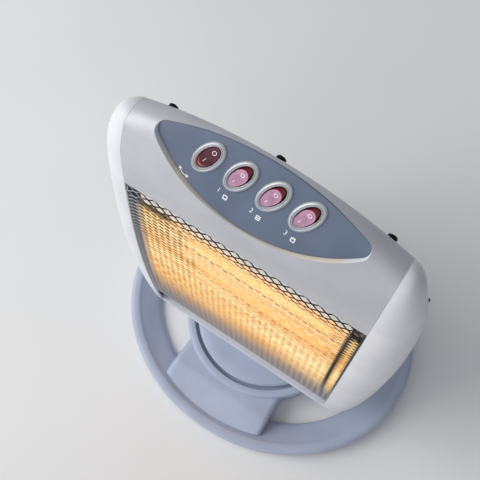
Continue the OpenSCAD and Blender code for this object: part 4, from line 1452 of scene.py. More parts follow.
    def rocker(self, switch: Switch) -> Piece:
        """Returns a rocker: a V-shaped face, slanted end walls and a barrel body.

        Loops of growing share s run x = s w cos(a), y = s l(a) sin(a), where l is the face's reach at either
        end. The wall widens from the face's outline to the barrel's while it drops 3.4 mm, and the body
        closes below.

        Args:
            switch: The switch.

        Returns:
            The object.
        """
        long, wide = self.opening_l / 2 - self.play, self.opening_w / 2 - self.play
        a = circle(96)
        across, along = np.cos(a), np.sin(a)
        low, high = ((self.reach_full, self.reach_lit) if switch.lit
                     else (self.reach_off, self.reach_full))
        reach = low + (high - low) * smooth((along + 0.35) / 0.7)
        # end marks the walls at the lower end, which the finish paints paler as painted light; rim marks the
        # face's edge at the upper end, a painted highlight
        lower, upper = smooth((-along - 0.1) / 0.3), smooth((along + 0.2) / 0.6)
        rows, paints = [], []
        for share, shine in self.face_rows:
            x, y = share * self.face_wide * wide * across, share * reach * long * along
            rows.append((x, y, self.face_height(y)))
            paints.append((1 + 0 * a, 0 * a, shine * upper))
        for t in self.wall_rows:
            x = (self.face_wide + (self.wall_wide - self.face_wide) * t) * wide * across
            y = (reach + (self.wall_long - reach) * t) * long * along
            drop = self.edge_drop + self.wall_drop * t ** 1.15
            rows.append((x, y, self.face_height(y * (1 - t)) - drop))
            paints.append((max(0.0, 1 - 9 * t) + 0 * a, lower * min(1.0, 9 * t),
                           upper * max(0.0, 1 - 12 * t)))
        for share, n in self.barrel_rows:
            rows.append((share * wide * across, share * long * along, n + 0 * a))
            paints.append((0 * a, 0 * a, 0 * a))
        grid = np.array([self.rocker_points(switch, *row) for row in rows])
        paint = dict(zip(("face", "end", "rim"), np.array(paints).swapaxes(0, 1)))
        return loft(f"{switch.body.value}_lens", grid, crease=50.0, paint=paint)

    def stroke(self, name: str, lines: Sequence[Array], width: float, high: float,
               place: Callable[[Array, Array, Array], Array]) -> Piece:
        """Makes flat strokes: each line is widened both ways along its own normal and given a small height.

        Args:
            name: The piece's name.
            lines: Open or closed lines of (x, y) points.
            width: Full width of a stroke.
            high: Height above the surface.
            place: Takes x, y and the height and returns points.

        Returns:
            The object.
        """
        grids, rings = [], []
        for line in lines:
            closed = bool(np.allclose(line[0], line[-1]))
            path = line[:-1] if closed else line
            before = path[-1:] if closed else 2 * path[:1] - path[1:2]
            after = path[:1] if closed else 2 * path[-1:] - path[-2:-1]
            way = np.concatenate([path[1:], after]) - np.concatenate([before, path[:-1]])
            normal = np.stack([-way[:, 1], way[:, 0]], axis=1) / np.linalg.norm(way, axis=1)[:, None]
            left, right = path + normal * width / 2, path - normal * width / 2
            corners = [(left, 0.0), (right, 0.0), (right, high), (left, high)]
            grids.append(np.stack([place(*side.T, np.full(len(side), up)) for side, up in corners], axis=1))
            rings.append(closed)
        return bars(name, grids, rings)

    def marks(self, switch: Switch) -> Piece:
        """Returns the I and O marks on a rocker's two faces.

        The O is a ring (r cos a, r sin a) whose cosine and sine are drawn towards their ends by a power of
        0.75, which squares its shoulders.

        Args:
            switch: The switch.

        Returns:
            The object.
        """
        a = np.linspace(0.0, 2 * np.pi, 41)
        bar_y, ring_y = self.marks_lit if switch.lit else self.marks_off
        wide, high = self.mark_size
        across, along = (np.sign(part) * np.abs(part) ** 0.75 for part in (np.cos(a), np.sin(a)))
        ring_line = np.stack([wide * across, ring_y + high * along], axis=1)
        bar = np.array([[0.0, bar_y - wide], [0.0, bar_y], [0.0, bar_y + wide]])

        def place(x: Array, y: Array, n: Array) -> Array:
            """Returns points on the rocker's faces."""
            return self.rocker_points(switch, x, y, self.face_height(y) + n)

        return self.stroke(f"marks_{switch.name.lower()}", [bar, ring_line], self.mark_line, 0.06, place)

    def sign_place(self, switch: Switch, back: float) -> Array:
        """Returns a place on the run of a heater switch's print, back degrees before its sign."""
        at = math.radians(self.sign_at[switch.value] - back)
        return self.sign_r * np.array([math.cos(at), math.sin(at)])

    def bow_lines(self) -> list[Array]:
        """Returns the swing's double-headed bow: the curve (1-t)^2 a + 2 t (1-t) b + t^2 c, and its heads.

        Returns:
            The lines.
        """
        first, handle, last = np.array(self.bow)
        t = np.linspace(0.0, 1.0, 24)[:, None]
        bow = (1 - t) ** 2 * first + 2 * t * (1 - t) * handle + t ** 2 * last
        lines, (long, wide) = [bow], self.arrow
        for tip, behind in ((bow[0], bow[3]), (bow[-1], bow[-4])):
            way = (behind - tip) / np.linalg.norm(behind - tip)
            side = np.array([-way[1], way[0]])
            lines += [np.stack([tip, tip + long * way + sign * wide * side]) for sign in (1, -1)]
        return lines

    def sign_lines(self, switch: Switch) -> list[Array]:
        """Returns a heater's sign: a small square frame with a bar at its level.

        Args:
            switch: The switch.

        Returns:
            The lines.
        """
        turn, half = math.radians(self.sign_turn), self.sign_half
        axes = np.array([[math.cos(turn), math.sin(turn)], [-math.sin(turn), math.cos(turn)]])
        centre = self.sign_place(switch, 0.0)
        corners = centre + half * np.array([(-1, -1), (1, -1), (1, 1), (-1, 1), (-1, -1)]) @ axes
        sides = [np.linspace(corners[i], corners[i + 1], 6)[:-1] for i in range(4)]
        level = self.sign_level[switch.value]
        bar = centre + np.array([(u * half, level) for u in (-0.8, 0.0, 0.8)]) @ axes
        return [np.concatenate(sides + [corners[:1]]), bar]

    def prints(self, switch: Switch) -> Piece:
        """Returns a switch's print: the bow for the swing, or a framed level sign for a heater.

        Args:
            switch: The switch.

        Returns:
            The object.
        """
        def place(x: Array, y: Array, n: Array) -> Array:
            """Returns points on the panel's face."""
            return PLANE.lift_switch(switch, x, y, n)

        lines, width = ((self.sign_lines(switch), self.sign_line) if switch.lit
                        else (self.bow_lines(), self.bow_line))
        return self.stroke(f"print_{switch.name.lower()}", lines, width, self.print_high, place)

    def digit(self, switch: Switch) -> Piece:
        """Returns the plain number beside a heater switch, a flat text curve made a mesh and then placed.

        Args:
            switch: The switch.

        Returns:
            The object.
        """
        curve = bpy.data.curves.new(f"number_{switch.value}", "FONT")
        curve.body = str(switch.value)
        curve.size = self.digit_size
        curve.extrude = 0.03
        curve.align_x = "CENTER"
        curve.align_y = "CENTER"
        curve.resolution_u = 4
        holder = bpy.data.objects.new("number", curve)
        bpy.context.scene.collection.objects.link(holder)
        bpy.context.view_layer.update()
        mesh = bpy.data.meshes.new_from_object(holder.evaluated_get(bpy.context.evaluated_depsgraph_get()))
        bpy.data.objects.remove(holder, do_unlink=True)
        points = np.empty(len(mesh.vertices) * 3, dtype=np.float32)
        mesh.vertices.foreach_get("co", points)
        x, y, n = points.reshape(-1, 3).astype(float).T
        turn, spot = math.radians(self.digit_turn), self.sign_place(switch, self.digit_back)
        px = spot[0] + x * math.cos(turn) - y * math.sin(turn)
        py = spot[1] + x * math.sin(turn) + y * math.cos(turn)
        spots = PLANE.lift_switch(switch, px, py, n + 0.04)
        mesh.vertices.foreach_set("co", (spots * MM).astype(np.float32).ravel())
        mesh.update()
        piece = bpy.data.objects.new(f"number_{switch.value}", mesh)
        bpy.context.scene.collection.objects.link(piece)
        return piece


@dataclass(frozen=True)
class Grille:
    """The expanded mesh: waves of flat strand that touch their neighbours at the knuckles.

    It is drawn back by foot_recess over the foot_zone, and it leans back over the last fold millimetres,
    where the strands lie flat and a little thinner.
    """

    long_way: float = 12.6
    short_way: float = 5.7
    recess: float = 0.2
    foot_recess: float = 9.5
    foot_zone: float = 60.0
    fold: float = 16.0
    fold_lean: float = 0.44
    wave_clip: float = 1.35
    overlap: float = 0.93
    top_zone: float = 6.0
    top_thin: float = 0.12
    soft_share: float = 0.88
    soft_from: float = 28.0
    soft_zone: float = 70.0
    border_depth: tuple[float, float] = (0.5, -0.7)
    strand_w: float = 1.15
    strand_t: float = 0.5
    lean: float = 40.0
    steps: int = 10
    border: float = 1.3

    def face_y(self, z: Array) -> Array:
        """Returns the mesh's y: the front's, drawn back at the foot and folded back under the top lip.

        Args:
            z: Heights, mm.

        Returns:
            The y values, mm.
        """
        back = self.foot_recess * smooth((OUTLINE.grille_bottom + self.foot_zone - z) / self.foot_zone)
        over = np.maximum(0.0, z - (OUTLINE.band_z - self.fold))
        fold = self.fold_lean * over * over / (over + 2.0)
        return OUTLINE.front_y(z, 0.0) - OUTLINE.edge_inset(z, 0.0) + self.recess + back + fold

    def line(self, count: int) -> tuple[Array, Array]:
        """Returns the grille's outline (y, z) and its direction, from foot to top.

        Args:
            count: How many points.

        Returns:
            The points and their directions.
        """
        z = np.linspace(OUTLINE.grille_bottom + 0.8, OUTLINE.band_z, count)
        y = self.face_y(z)
        way = np.stack([np.gradient(y), np.gradient(z)], axis=1)
        way /= np.linalg.norm(way, axis=1)[:, None]
        return np.stack([y, z], axis=1), way

    def mesh(self) -> Piece:
        """Returns the mesh.

        Wave r runs s = length - (r + 1) h + (h / 2) w(x) down the outline, where w is a soft square wave
        whose sign turns from wave to wave. The points' inward value, which the finish reads as the
        share of its painted glow, is 0 on a strand's front and 1 behind, and evens out below the fold.

        Returns:
            The object.
        """
        half = OUTLINE.seam_x - 1.0
        pitch = self.short_way / 2
        table, way = self.line(400)
        length = np.concatenate([[0.0], np.cumsum(np.linalg.norm(np.diff(table, axis=0), axis=1))])
        waves = np.arange(int(length[-1] / pitch) - 1)[:, None]
        x = np.arange(-half, half, self.long_way / self.steps)
        phase = 2 * np.pi * x / self.long_way
        wave = np.clip(self.wave_clip * 2 / np.pi * np.arcsin(np.cos(phase)), -1.0, 1.0)
        sign = np.where(waves % 2 == 0, 1.0, -1.0)
        s = length[-1] - (waves + 1.0) * pitch + pitch / 2 * self.overlap * sign * wave
        y, z, wy, wz = (np.interp(s, length, column) for column in (*table.T, *way.T))
        top = np.clip((z - (OUTLINE.band_z - self.fold - self.top_zone)) / self.top_zone, 0.0, 1.0)
        a = math.radians(self.lean) * (1 - top)
        width = self.strand_w * (1 - self.top_thin * top)
        points = []
        for u, v in ((-1, -1), (1, -1), (1, 1), (-1, 1)):
            up = u * width / 2 * np.cos(a) + v * self.strand_t / 2 * np.sin(a)
            out = u * width / 2 * np.sin(a) - v * self.strand_t / 2 * np.cos(a)
            points.append(np.stack([x + 0 * s, y + up * wy - out * wz, z + up * wz + out * wy], axis=2))
        # share of the painted glow on each corner of a strand: none on its front, full behind, more on the
        # front below the fold
        lit = np.array([0.0, 0.45, 1.0, 1.0])
        soft = smooth((OUTLINE.band_z - self.soft_from - z) / self.soft_zone)[..., None]
        inward = (lit + (1 - lit) * self.soft_share * soft).ravel()
        return bars("grille_expanded_mesh", list(np.stack(points, axis=2)), crease=40.0,
                    paint={"inward": inward})

    def frame(self) -> Piece:
        """Returns the mesh's folded border: two uprights and two rails of strip along the outline.

        Returns:
            The object.
        """
        table, way = self.line(60)
        half = OUTLINE.seam_x - 0.5
        normal = np.stack([-way[:, 1], way[:, 0]], axis=1)
        front, back = self.border_depth
        grids = []
        for side in (-1, 1):
            x = side * np.array([half - self.border, half, half, half - self.border])
            depth = np.array([front, front, back, back])[:, None]
            spots = table[:, None] + normal[:, None] * depth
            grids.append(np.dstack([np.broadcast_to(x, spots.shape[:2]), spots]))
        for end, into in ((0, 1), (-1, -1)):
            corners = [table[end] + way[end] * into * u + normal[end] * v for u, v in
                       ((0, front), (self.border, front), (self.border, back), (0, back))]
            grids.append(np.stack([np.column_stack([np.full(4, x), corners]) for x in (-half, half)]))
        count = sum(grid.shape[0] * grid.shape[1] for grid in grids)
        return bars("grille_border", grids, paint={"inward": np.zeros(count)})

    def strip(self, name: str, section: Array, half: float) -> Piece:
        """Returns a bar along X with a closed section of (y, z) points and flat ends."""
        return prism(name, np.stack([np.column_stack([np.full(len(section), x), section])
                                     for x in np.linspace(-half, half, 40)]))

    def ledge(self) -> Piece:
        """Returns the bottom trim's ledge, from just inside the front to behind the mesh's foot.

        Returns:
            The object.
        """
        top = OUTLINE.grille_bottom
        front = float(OUTLINE.front_y(np.array(top), 0.0)) + 0.25
        back = front + self.foot_recess + 2.25
        section = rounded([(front, top - 1.6, 0.3), (front, top + 1.6, 1.4), (back, top + 3.2, 0.6),
                           (back, top - 1.6, 0.3)])
        return self.strip("bottom_ledge", section, OUTLINE.seam_x + 3.0)

    def clearance(self) -> Piece:
        """Returns the room in front of the drawn-back foot, a bar along X that cuts the chassis plates.

        Returns:
            The object.
        """
        z = np.linspace(OUTLINE.grille_bottom - 1.0, OUTLINE.grille_bottom + self.foot_zone, 24)
        back = np.stack([self.face_y(z) + 1.2, z], axis=1)
        front = (back - [30.0, 0.0])[::-1]
        return self.strip("clearance", np.concatenate([back, front]), OUTLINE.seam_x + 12.0)

    def flange(self) -> Piece:
        """Returns the reflector's upper flange, a thin pale sheet 4 mm behind the mesh's fold, whose finish
        adds a faint painted glow.

        Returns:
            The object.
        """
        z = np.linspace(OUTLINE.band_z - self.fold - 8, OUTLINE.band_z - 1, 12)
        y = self.face_y(z) + 4.0
        section = np.concatenate([np.stack([y, z], axis=1), np.stack([y + 0.6, z], axis=1)[::-1]])
        return self.strip("reflector_flange", section, OUTLINE.seam_x - 12.0)


@dataclass
class Tubes:
    """The wound filaments inside the quartz tubes."""

    heights: tuple[float, ...] = (130.0, 222.0, 314.0)
    y: float = -14.0
    half: float = 92.0
    coil_r: float = 3.0
    wire_r: float = 0.5
    turns: int = 62

    def coil(self, height: float) -> Piece:
        """Returns one filament: a helix of wire, with straight tails to the caps.

        Args:
            height: The tube's z, mm.

        Returns:
            The object.
        """
        t = np.linspace(0.0, 1.0, self.turns * 14)
        grow = np.minimum(1.0, np.minimum(t, 1 - t) * 40)
        a = 2 * np.pi * self.turns * t
        line = np.stack([-self.half + 2 * self.half * t, self.y + self.coil_r * grow * np.cos(a),
                         height + self.coil_r * grow * np.sin(a)], axis=1)
        line = np.concatenate([[[-self.half - 7, self.y, height]], line, [[self.half + 7, self.y, height]]])
        way = np.gradient(line, axis=0)
        way /= np.linalg.norm(way, axis=1)[:, None]
        side = np.cross(way, [1.0, 0.0, 0.0])
        side[[0, 1, -2, -1]] += [0.0, 0.0, 1e-3]
        side /= np.maximum(1e-9, np.linalg.norm(side, axis=1))[:, None]
        other = np.cross(way, side)
        b = circle(5)[None, :, None]
        rows = line[:, None] + self.wire_r * (np.cos(b) * side[:, None] + np.sin(b) * other[:, None])
        return loft(f"filament_{int(height)}", rows, crease=80.0)


@dataclass
class Stand:
    """The stand's moulding: ring, bridge and hub."""

    half_x: float = 178.0
    half_y: float = 150.5
    width: float = 36.0
    top: float = 23.0
    foot: float = 2.5
    wall: float = 2.5
    rim: float = 12.0
    inner_top: float = 9.0
    bridge_w: float = 62.0
    flare: float = 7.0
    hub_r: float = 97.0
    hub_top: float = 36.0
    hub_floor: float = 29.0
    groove_r: float = 88.0
    bore_r: float = 10.1

    def ring(self) -> Piece:
        """Returns the ring: its profile, set off inwards from the ellipse (a cos t, b sin t).

        Returns:
            The object.
        """
        top, foot, inner, width, wall = self.top, self.foot, self.inner_top, self.width, self.wall
        profile = rounded([(0, foot, 0.3), (0, top - 6, 5), (2.2, top, 4.5), (self.rim - 1, top, 3),
                           (self.rim + 2, top - 2.6, 3), (width - 2, inner + 0.5, 4),
                           (width, inner - 3.5, 2), (width, foot, 0.3), (width - wall, foot, 0.3),
                           (width - wall, inner - 4, 1), (self.rim + 1, top - 5.6, 2),
                           (wall + 2, top - 4, 2), (wall, foot, 0.3)])
        t = circle(240)[:, None]
        nx, ny = np.cos(t) / self.half_x, np.sin(t) / self.half_y
        long = np.hypot(nx, ny)
        d, z = profile.T[:, None]
        path = np.stack([self.half_x * np.cos(t) - d * nx / long, self.half_y * np.sin(t) - d * ny / long,
                         z + 0 * t], axis=2)
        return ring("stand_ring", path, crease=40.0)

    def hub(self) -> Piece:
        """Returns the hub: a turned wall, a rounded shoulder, the groove and the floor.

        Returns:
            The object.
        """
        top, foot, floor, wall = self.hub_top, self.foot, self.hub_floor, self.wall
        profile = rounded([(self.hub_r, foot, 0.2), (self.hub_r, top, 4.5), (self.groove_r, top, 1.5),
                           (self.groove_r, floor, 1.0), (self.bore_r, floor, 0.2),
                           (self.bore_r, floor - wall, 0.2), (self.groove_r + wall, floor - wall, 1.0),
                           (self.groove_r + wall, top - wall, 1.0), (self.hub_r - wall, top - wall, 3.0),
                           (self.hub_r - wall, foot, 0.2)])
        return revolve("stand_hub", profile, crease=40.0)

    def bridge_height(self, y: Array) -> Array:
        """Returns the bridge's top: level by the hub, then falling softly to the ring's inner slope.

        Args:
            y: Distances from the hub's axis, mm.

        Returns:
            Heights, mm.
        """
        high, low = self.hub_top - 5, self.top - 3
        reach = self.half_y - self.rim - 4
        return high - (high - low) * smooth((np.abs(y) - (self.hub_r + 4)) / (reach - self.hub_r))

    def bridge(self, sign: int) -> Piece:
        """Returns one end of the bridge, front or rear: a skirted plate from inside the hub to the ring.

        Half its width is bridge_w + flare (y / b)^2, its far edge follows the ring's ellipse, and its edges
        round down over 6 mm.

        Args:
            sign: -1 in front, 1 behind.

        Returns:
            The object.
        """
        rim_x, rim_y = self.half_x - self.rim - 4, self.half_y - self.rim - 4
        u = np.linspace(-1.0, 1.0, 61)[:, None]
        v = np.linspace(0.0, 1.0, 41)[None]
        inner = np.sqrt(np.maximum(0.0, (self.hub_r - 3) ** 2 - (u * self.bridge_w) ** 2))
        outer = rim_y * np.sqrt(1 - (u * (self.bridge_w + self.flare) / rim_x) ** 2)
        y = inner + (outer - inner) * v
        x = u * (self.bridge_w + self.flare * (y / self.half_y) ** 2)
        edge = np.minimum(1.0, (1 - np.abs(u)) * self.bridge_w / 6.0)
        z = self.bridge_height(y) - 5.0 * (1 - np.sqrt(1 - (1 - edge) ** 2))
        top = np.stack([x, sign * y, z], axis=2)
        low = top.copy()
        low[:, :, 2] = self.foot
        return self.block("stand_bridge_front" if sign < 0 else "stand_bridge_rear", top, low)

    def block(self, name: str, top: Array, low: Array) -> Piece:
        """Returns a closed block between two grids of the same size.

        Args:
            name: The piece's name.
            top: The upper grid.
            low: The lower grid.

        Returns:
            The object.
        """
        m, n, _ = top.shape
        k = m * n
        skin, side = loops(m, n, False, False), side_wall(m, n, k)
        j = np.arange(n - 1)
        edge = np.stack([j, j + 1, k + j + 1, k + j], axis=1)
        points = np.concatenate([top.reshape(-1, 3), low.reshape(-1, 3)])
        return new_piece(name, points, skin, k + skin[:, ::-1], edge[:, ::-1], edge + (m - 1) * n, side,
                         (side + n - 1)[:, ::-1], crease=40.0)


@dataclass
class Screw:
    """A pan-head screw with a cross recess, seen from outside."""

    head_r: float = 3.8
    head_h: float = 2.7
    cross: float = 2.2
    cross_half: float = 0.62
    cross_deep: float = 1.2

    def build(self, name: str, seat: Array, way: Array) -> Piece:
        """Makes the head: a low dome n = h (0.45 + 0.55 (1 - (r/R)^4)^0.5), dented along a cross.

        Args:
            name: The piece's name.
            seat: Where the head's underside is.
            way: Unit vector out of the surface.

        Returns:
            The object.
        """
        r = np.concatenate([np.linspace(0.02, 0.8, 26), [0.86, 0.92, 0.96, 0.985, 1.0, 1.0, 1.0]])[:, None]
        a = circle(96)[None]
        x, y = r * self.head_r * np.cos(a), r * self.head_r * np.sin(a)
        n = self.head_h * (0.45 + 0.55 * np.sqrt(np.maximum(0.0, 1 - r ** 4))) + 0 * a
        upright, level = (smooth((self.cross_half - np.abs(near)) / 0.25)
                          * smooth((self.cross - np.abs(far)) / 0.4) for near, far in ((x, y), (y, x)))
        n = n - self.cross_deep * np.maximum(upright, level)
        n[-1] = 0.0
        n[-2] = 0.2
        side = np.cross(way, [0.0, 0.0, 1.0] if abs(way[2]) < 0.9 else [1.0, 0.0, 0.0])
        side /= np.linalg.norm(side)
        other = np.cross(way, side)
        rows = seat + x[..., None] * side + y[..., None] * other + n[..., None] * np.asarray(way)
        return loft(name, rows, crease=40.0)


# ------------------------------------------------------------------------------------------- studio


@dataclass(frozen=True)
class Lamp:
    """A square area lamp that faces the middle of the heater, in metres and watts."""

    name: str
    place: tuple[float, float, float]
    size: float
    power: float
    tint: Colour
    aim_z: float = 0.25

    def build(self) -> None:
        """Makes the lamp."""
        light = bpy.data.lights.new(self.name, "AREA")
        light.size = self.size
        light.energy = self.power
        light.color = self.tint
        lamp = bpy.data.objects.new(self.name, light)
        back = Vector(self.place) - Vector((0.0, 0.0, self.aim_z))
        turn = back.to_track_quat("Z", "Y").to_matrix().to_4x4()
        lamp.matrix_world = Matrix.Translation(self.place) @ turn
        bpy.context.scene.collection.objects.link(lamp)


@dataclass(frozen=True)
class Studio:
    """Pale floor, soft light, and the camera at the photograph's viewing angle, in metres."""

    eye: tuple[float, float, float] = (0.10884, -0.14196, 0.89907)
    right: tuple[float, float, float] = (0.82774, 0.55863, -0.05277)
    up: tuple[float, float, float] = (-0.52054, 0.79959, 0.29948)
    back: tuple[float, float, float] = (0.20949, -0.22042, 0.95264)
    lens_mm: float = 55.5
    floor_half: float = 6.0
    sky: float = 0.545
    sky_shares: tuple[tuple[str, float], ...] = (("X", -0.4), ("Y", -0.36), ("Z", -0.1))
    sky_shown: float = 0.62
    sky_tint: Colour = shade(232, 237, 246)
    lamps: tuple[Lamp, ...] = (Lamp("key", (-1.25, -0.75, 1.35), 1.3, 20.5, (1.0, 0.99, 0.97)),
                               Lamp("fill", (1.3, -1.6, 0.8), 1.6, 3.4, (0.95, 0.97, 1.0)),
                               Lamp("rear", (-0.5, 1.9, 0.4), 1.4, 4.0, (1.0, 1.0, 1.0)))

    def camera(self) -> None:
        """Makes the camera and gives it to the scene."""
        lens = bpy.data.cameras.new("view")
        lens.lens = self.lens_mm
        lens.sensor_width = 36.0
        lens.clip_start = 0.01
        eye = bpy.data.objects.new("view", lens)
        turn = Matrix((self.right, self.up, self.back)).transposed().to_4x4()
        eye.matrix_world = Matrix.Translation(self.eye) @ turn
        bpy.context.scene.collection.objects.link(eye)
        bpy.context.scene.camera = eye

    def floor(self) -> None:
        """Makes the floor, large enough for every view."""
        half = self.floor_half
        mesh = bpy.data.meshes.new("floor")
        mesh.from_pydata([(-half, -half, 0), (half, -half, 0), (half, half, 0), (-half, half, 0)], [],
                         [(0, 1, 2, 3)])
        floor = bpy.data.objects.new("floor", mesh)
        bpy.context.scene.collection.objects.link(floor)
        graph = Graph("floor_pale")
        tone = graph.ramp(graph.noise(3.0, 3.0), [(0.3, shade(236, 235, 233)), (0.7, shade(241, 240, 238))])
        floor.data.materials.append(graph.dress(Base_Color=tone, Roughness=0.85, Specular_IOR_Level=0.2))

    def world(self) -> None:
        """Makes the soft light all round, stronger from the left and front.

        What the camera, a mirror or a glass shows of it is one even level instead.
        """
        world = bpy.data.worlds.new("studio")
        world.use_nodes = True
        tree = NodeTree(world.node_tree)
        way = tree.put("SeparateXYZ", {"Vector": tree.put("TexCoord").outputs["Generated"]})
        level = self.sky
        for axis, share in self.sky_shares:
            level = tree.sums("MULTIPLY_ADD", way.outputs[axis], share, level)
        path = tree.put("LightPath")
        seen = path.outputs["Is Camera Ray"]
        for kind in ("Is Glossy Ray", "Is Transmission Ray"):
            seen = tree.sums("MAXIMUM", seen, path.outputs[kind])
        shown = tree.put("Mix", {0: seen, 2: level, 3: self.sky_shown})
        ground = tree.nodes["Background"]
        tree.feed(ground.inputs["Strength"], shown.outputs[0])
        tree.feed(ground.inputs["Color"], self.sky_tint)
        bpy.context.scene.world = world

    def build(self) -> None:
        """Makes the whole studio."""
        bpy.context.scene.view_settings.view_transform = "Standard"
        self.camera()
        self.floor()
        self.world()
        for lamp in self.lamps:
            lamp.build()


# ----------------------------------------------------------------------------------------- assembly


FINISHES = {
    "cover": MouldedPlastic("cover_warm_white", shade(224, 224, 226), 0.36),
    "trim": MouldedPlastic("trim_pale_blue", shade(196, 201, 212), 0.4),
    # the pocket's second colour, far paler than the cover's silver, is partly paint and partly painted light
    # on the tips' wall
    "pocket": PocketPlastic("pocket_cream", shade(240, 228, 208), shade(238, 241, 248)),
    "silver": SilverPaint("silver_cover", shade(196, 197, 201), 3400.0, 0.32, 0.55, 0.02),
    "panel": MouldedPlastic("panel_blue_grey", shade(98, 109, 129), 0.42, 0.09, 2200.0, 0.06),
    "bezel": SilverPaint("bezel_silver", shade(184, 187, 190), 9000.0, 0.4, 0.4),
    "stand": MouldedPlastic("stand_light_blue", shade(174, 182, 202), 0.44),
    "print": MouldedPlastic("print_white", shade(240, 240, 240), 0.5),
    "mark": MouldedPlastic("mark_pale_pink", shade(250, 232, 242), 0.4),
    # the flange's glow is painted light, standing for the tubes' light on it
    "flange": SheetMetal("flange_glow_painted", shade(226, 220, 212), 0.45, 0.1, glow=0.3),
    "inner": MouldedPlastic("inner_ivory", shade(222, 216, 200), 0.5),
    "black_plastic": MouldedPlastic("black_plastic", shade(34, 34, 36)),
    "rubber": MouldedPlastic("rubber_black", shade(26, 26, 27), 0.7, 0.1, 900.0, 0.08),
    "red_plastic": MouldedPlastic("plunger_red", shade(190, 40, 30), 0.35),
    "ceramic": MouldedPlastic("ceramic_white", shade(236, 230, 216), 0.55, 0.06, 1200.0, 0.05),
    "sleeve": MouldedPlastic("loom_sleeve", shade(214, 210, 198), 0.6, 0.08, 700.0, 0.15),
    "steel": SheetMetal("turned_steel", shade(168, 170, 172), 0.32),
    "black_steel": SheetMetal("black_steel", shade(22, 22, 24), 0.38, 0.8),
    "brass": SheetMetal("tinned_brass", shade(206, 184, 128)),
    "chassis": SheetMetal("chassis_zinc", shade(92, 95, 100), 0.42, 0.9, (1.0, 1.0, 0.05)),
    "rear": MouldedPlastic("rear_sheet_grey", shade(200, 201, 203), 0.45, 0.04, 1500.0, 0.03),
    # the mesh's two warm colours are its painted glow and painted highlight
    "mesh": GlowPaintedMesh("mesh_black_glow_painted", shade(26, 27, 30), shade(158, 158, 164), shade(255, 178, 84),
                       shade(255, 230, 170), 150.0, 240.0, 350.0),
    # the reflector's glow colour is a painted reflection of the tubes
    "reflector": GlowPaintedSheet("reflector_lit", Tubes.heights, shade(255, 176, 84), shade(226, 222, 214)),
    "quartz": ClearQuartz("quartz_clear"),
    "coil": Coil("filament_hot", Tubes.half),
    # each rocker's third colour (end walls) is painted light and its fourth (rim) a painted highlight; the
    # lit rocker's pale face and its emission stand for the switch's own lamp
    "rocker_off": LensPlastic("rocker_red_unlit", shade(84, 20, 38), shade(96, 16, 28),
                              shade(222, 112, 106), shade(140, 50, 74), 0.04),
    "rocker_lit": LensPlastic("rocker_red_lit", shade(172, 126, 150), shade(112, 18, 30),
                              shade(176, 84, 104), shade(228, 140, 166), 0.22),
}
Looks = dict[str, Material]


@dataclass(frozen=True)
class PlainPart:
    """A node that keeps its CAD shape, smoothed in a copy, with its own finish."""

    node: str
    body: Body
    slot: str
    finish: str
    crease: float = 30.0


PLAIN_PARTS = (
    PlainPart("base_plate", Body.BASE, "chassis_steel", "steel"),
    PlainPart("rubber_feet", Body.BASE, "rubber", "rubber"),
    PlainPart("plate_screws", Body.BASE, "steel", "steel"),
    PlainPart("spindle", Body.BASE, "steel", "steel"),
    PlainPart("thrust_washer", Body.BASE, "inner_plastic", "inner"),
    PlainPart("retaining_washer", Body.BASE, "steel", "steel"),
    PlainPart("spindle_nut", Body.BASE, "steel", "steel"),
    PlainPart("swing_motor", Body.BASE, "chassis_steel", "steel"),
    PlainPart("tip_switch", Body.BASE, "black_steel", "black_plastic"),
    PlainPart("plunger_spring", Body.BASE, "steel", "steel"),
    PlainPart("cord_gland", Body.BASE, "rubber", "rubber"),
    PlainPart("crank", Body.CRANK, "inner_plastic", "inner"),
    PlainPart("tip_plunger", Body.PLUNGER, "plunger_red", "red_plastic"),
    PlainPart("turntable", Body.HEAD, "stand_plastic", "stand"),
    PlainPart("turntable_screws", Body.HEAD, "steel", "steel"),
    PlainPart("bottom_cover", Body.HEAD, "cover_plastic", "cover"),
    PlainPart("chassis_left", Body.HEAD, "chassis_steel", "chassis"),
    PlainPart("chassis_right", Body.HEAD, "chassis_steel", "chassis"),
    PlainPart("switch_terminals", Body.HEAD, "brass", "brass"),
    PlainPart("reflector", Body.HEAD, "reflector_bright", "reflector"),
    PlainPart("quartz_tubes", Body.HEAD, "quartz", "quartz"),
    PlainPart("tube_caps", Body.HEAD, "ceramic", "ceramic"),
    PlainPart("rear_housing", Body.HEAD, "rear_sheet", "rear"),
    PlainPart("housing_screws", Body.HEAD, "black_steel", "black_steel"),
    PlainPart("thermal_cutout", Body.HEAD, "ceramic", "ceramic"),
    PlainPart("terminal_block", Body.HEAD, "ceramic", "inner"),
    PlainPart("wiring_loom", Body.HEAD, "inner_plastic", "sleeve", 60.0),
)


def dress_plain_parts(frame: dict, looks: Looks) -> None:
    """Replaces each plain node by its smoothed copy.

    Args:
        frame: The loaded frame.
        looks: The materials.
    """
    for part in PLAIN_PARTS:
        copy = merged_copy(f"{part.node}_finished", part.node, frame, part.crease)
        if part.node.startswith("chassis"):
            carve(copy, Grille().clearance())
        finish_piece(copy, part.body, part.slot, looks[part.finish], [part.node])


def build_stand(looks: Looks) -> None:
    """Builds the stand's moulding, all of it standing for the base's node.

    Args:
        looks: The materials.
    """
    stand = Stand()
    for piece in (stand.ring(), stand.hub(), stand.bridge(-1), stand.bridge(1)):
        finish_piece(piece, Body.BASE, "stand_plastic", looks["stand"], ["base_moulding"])


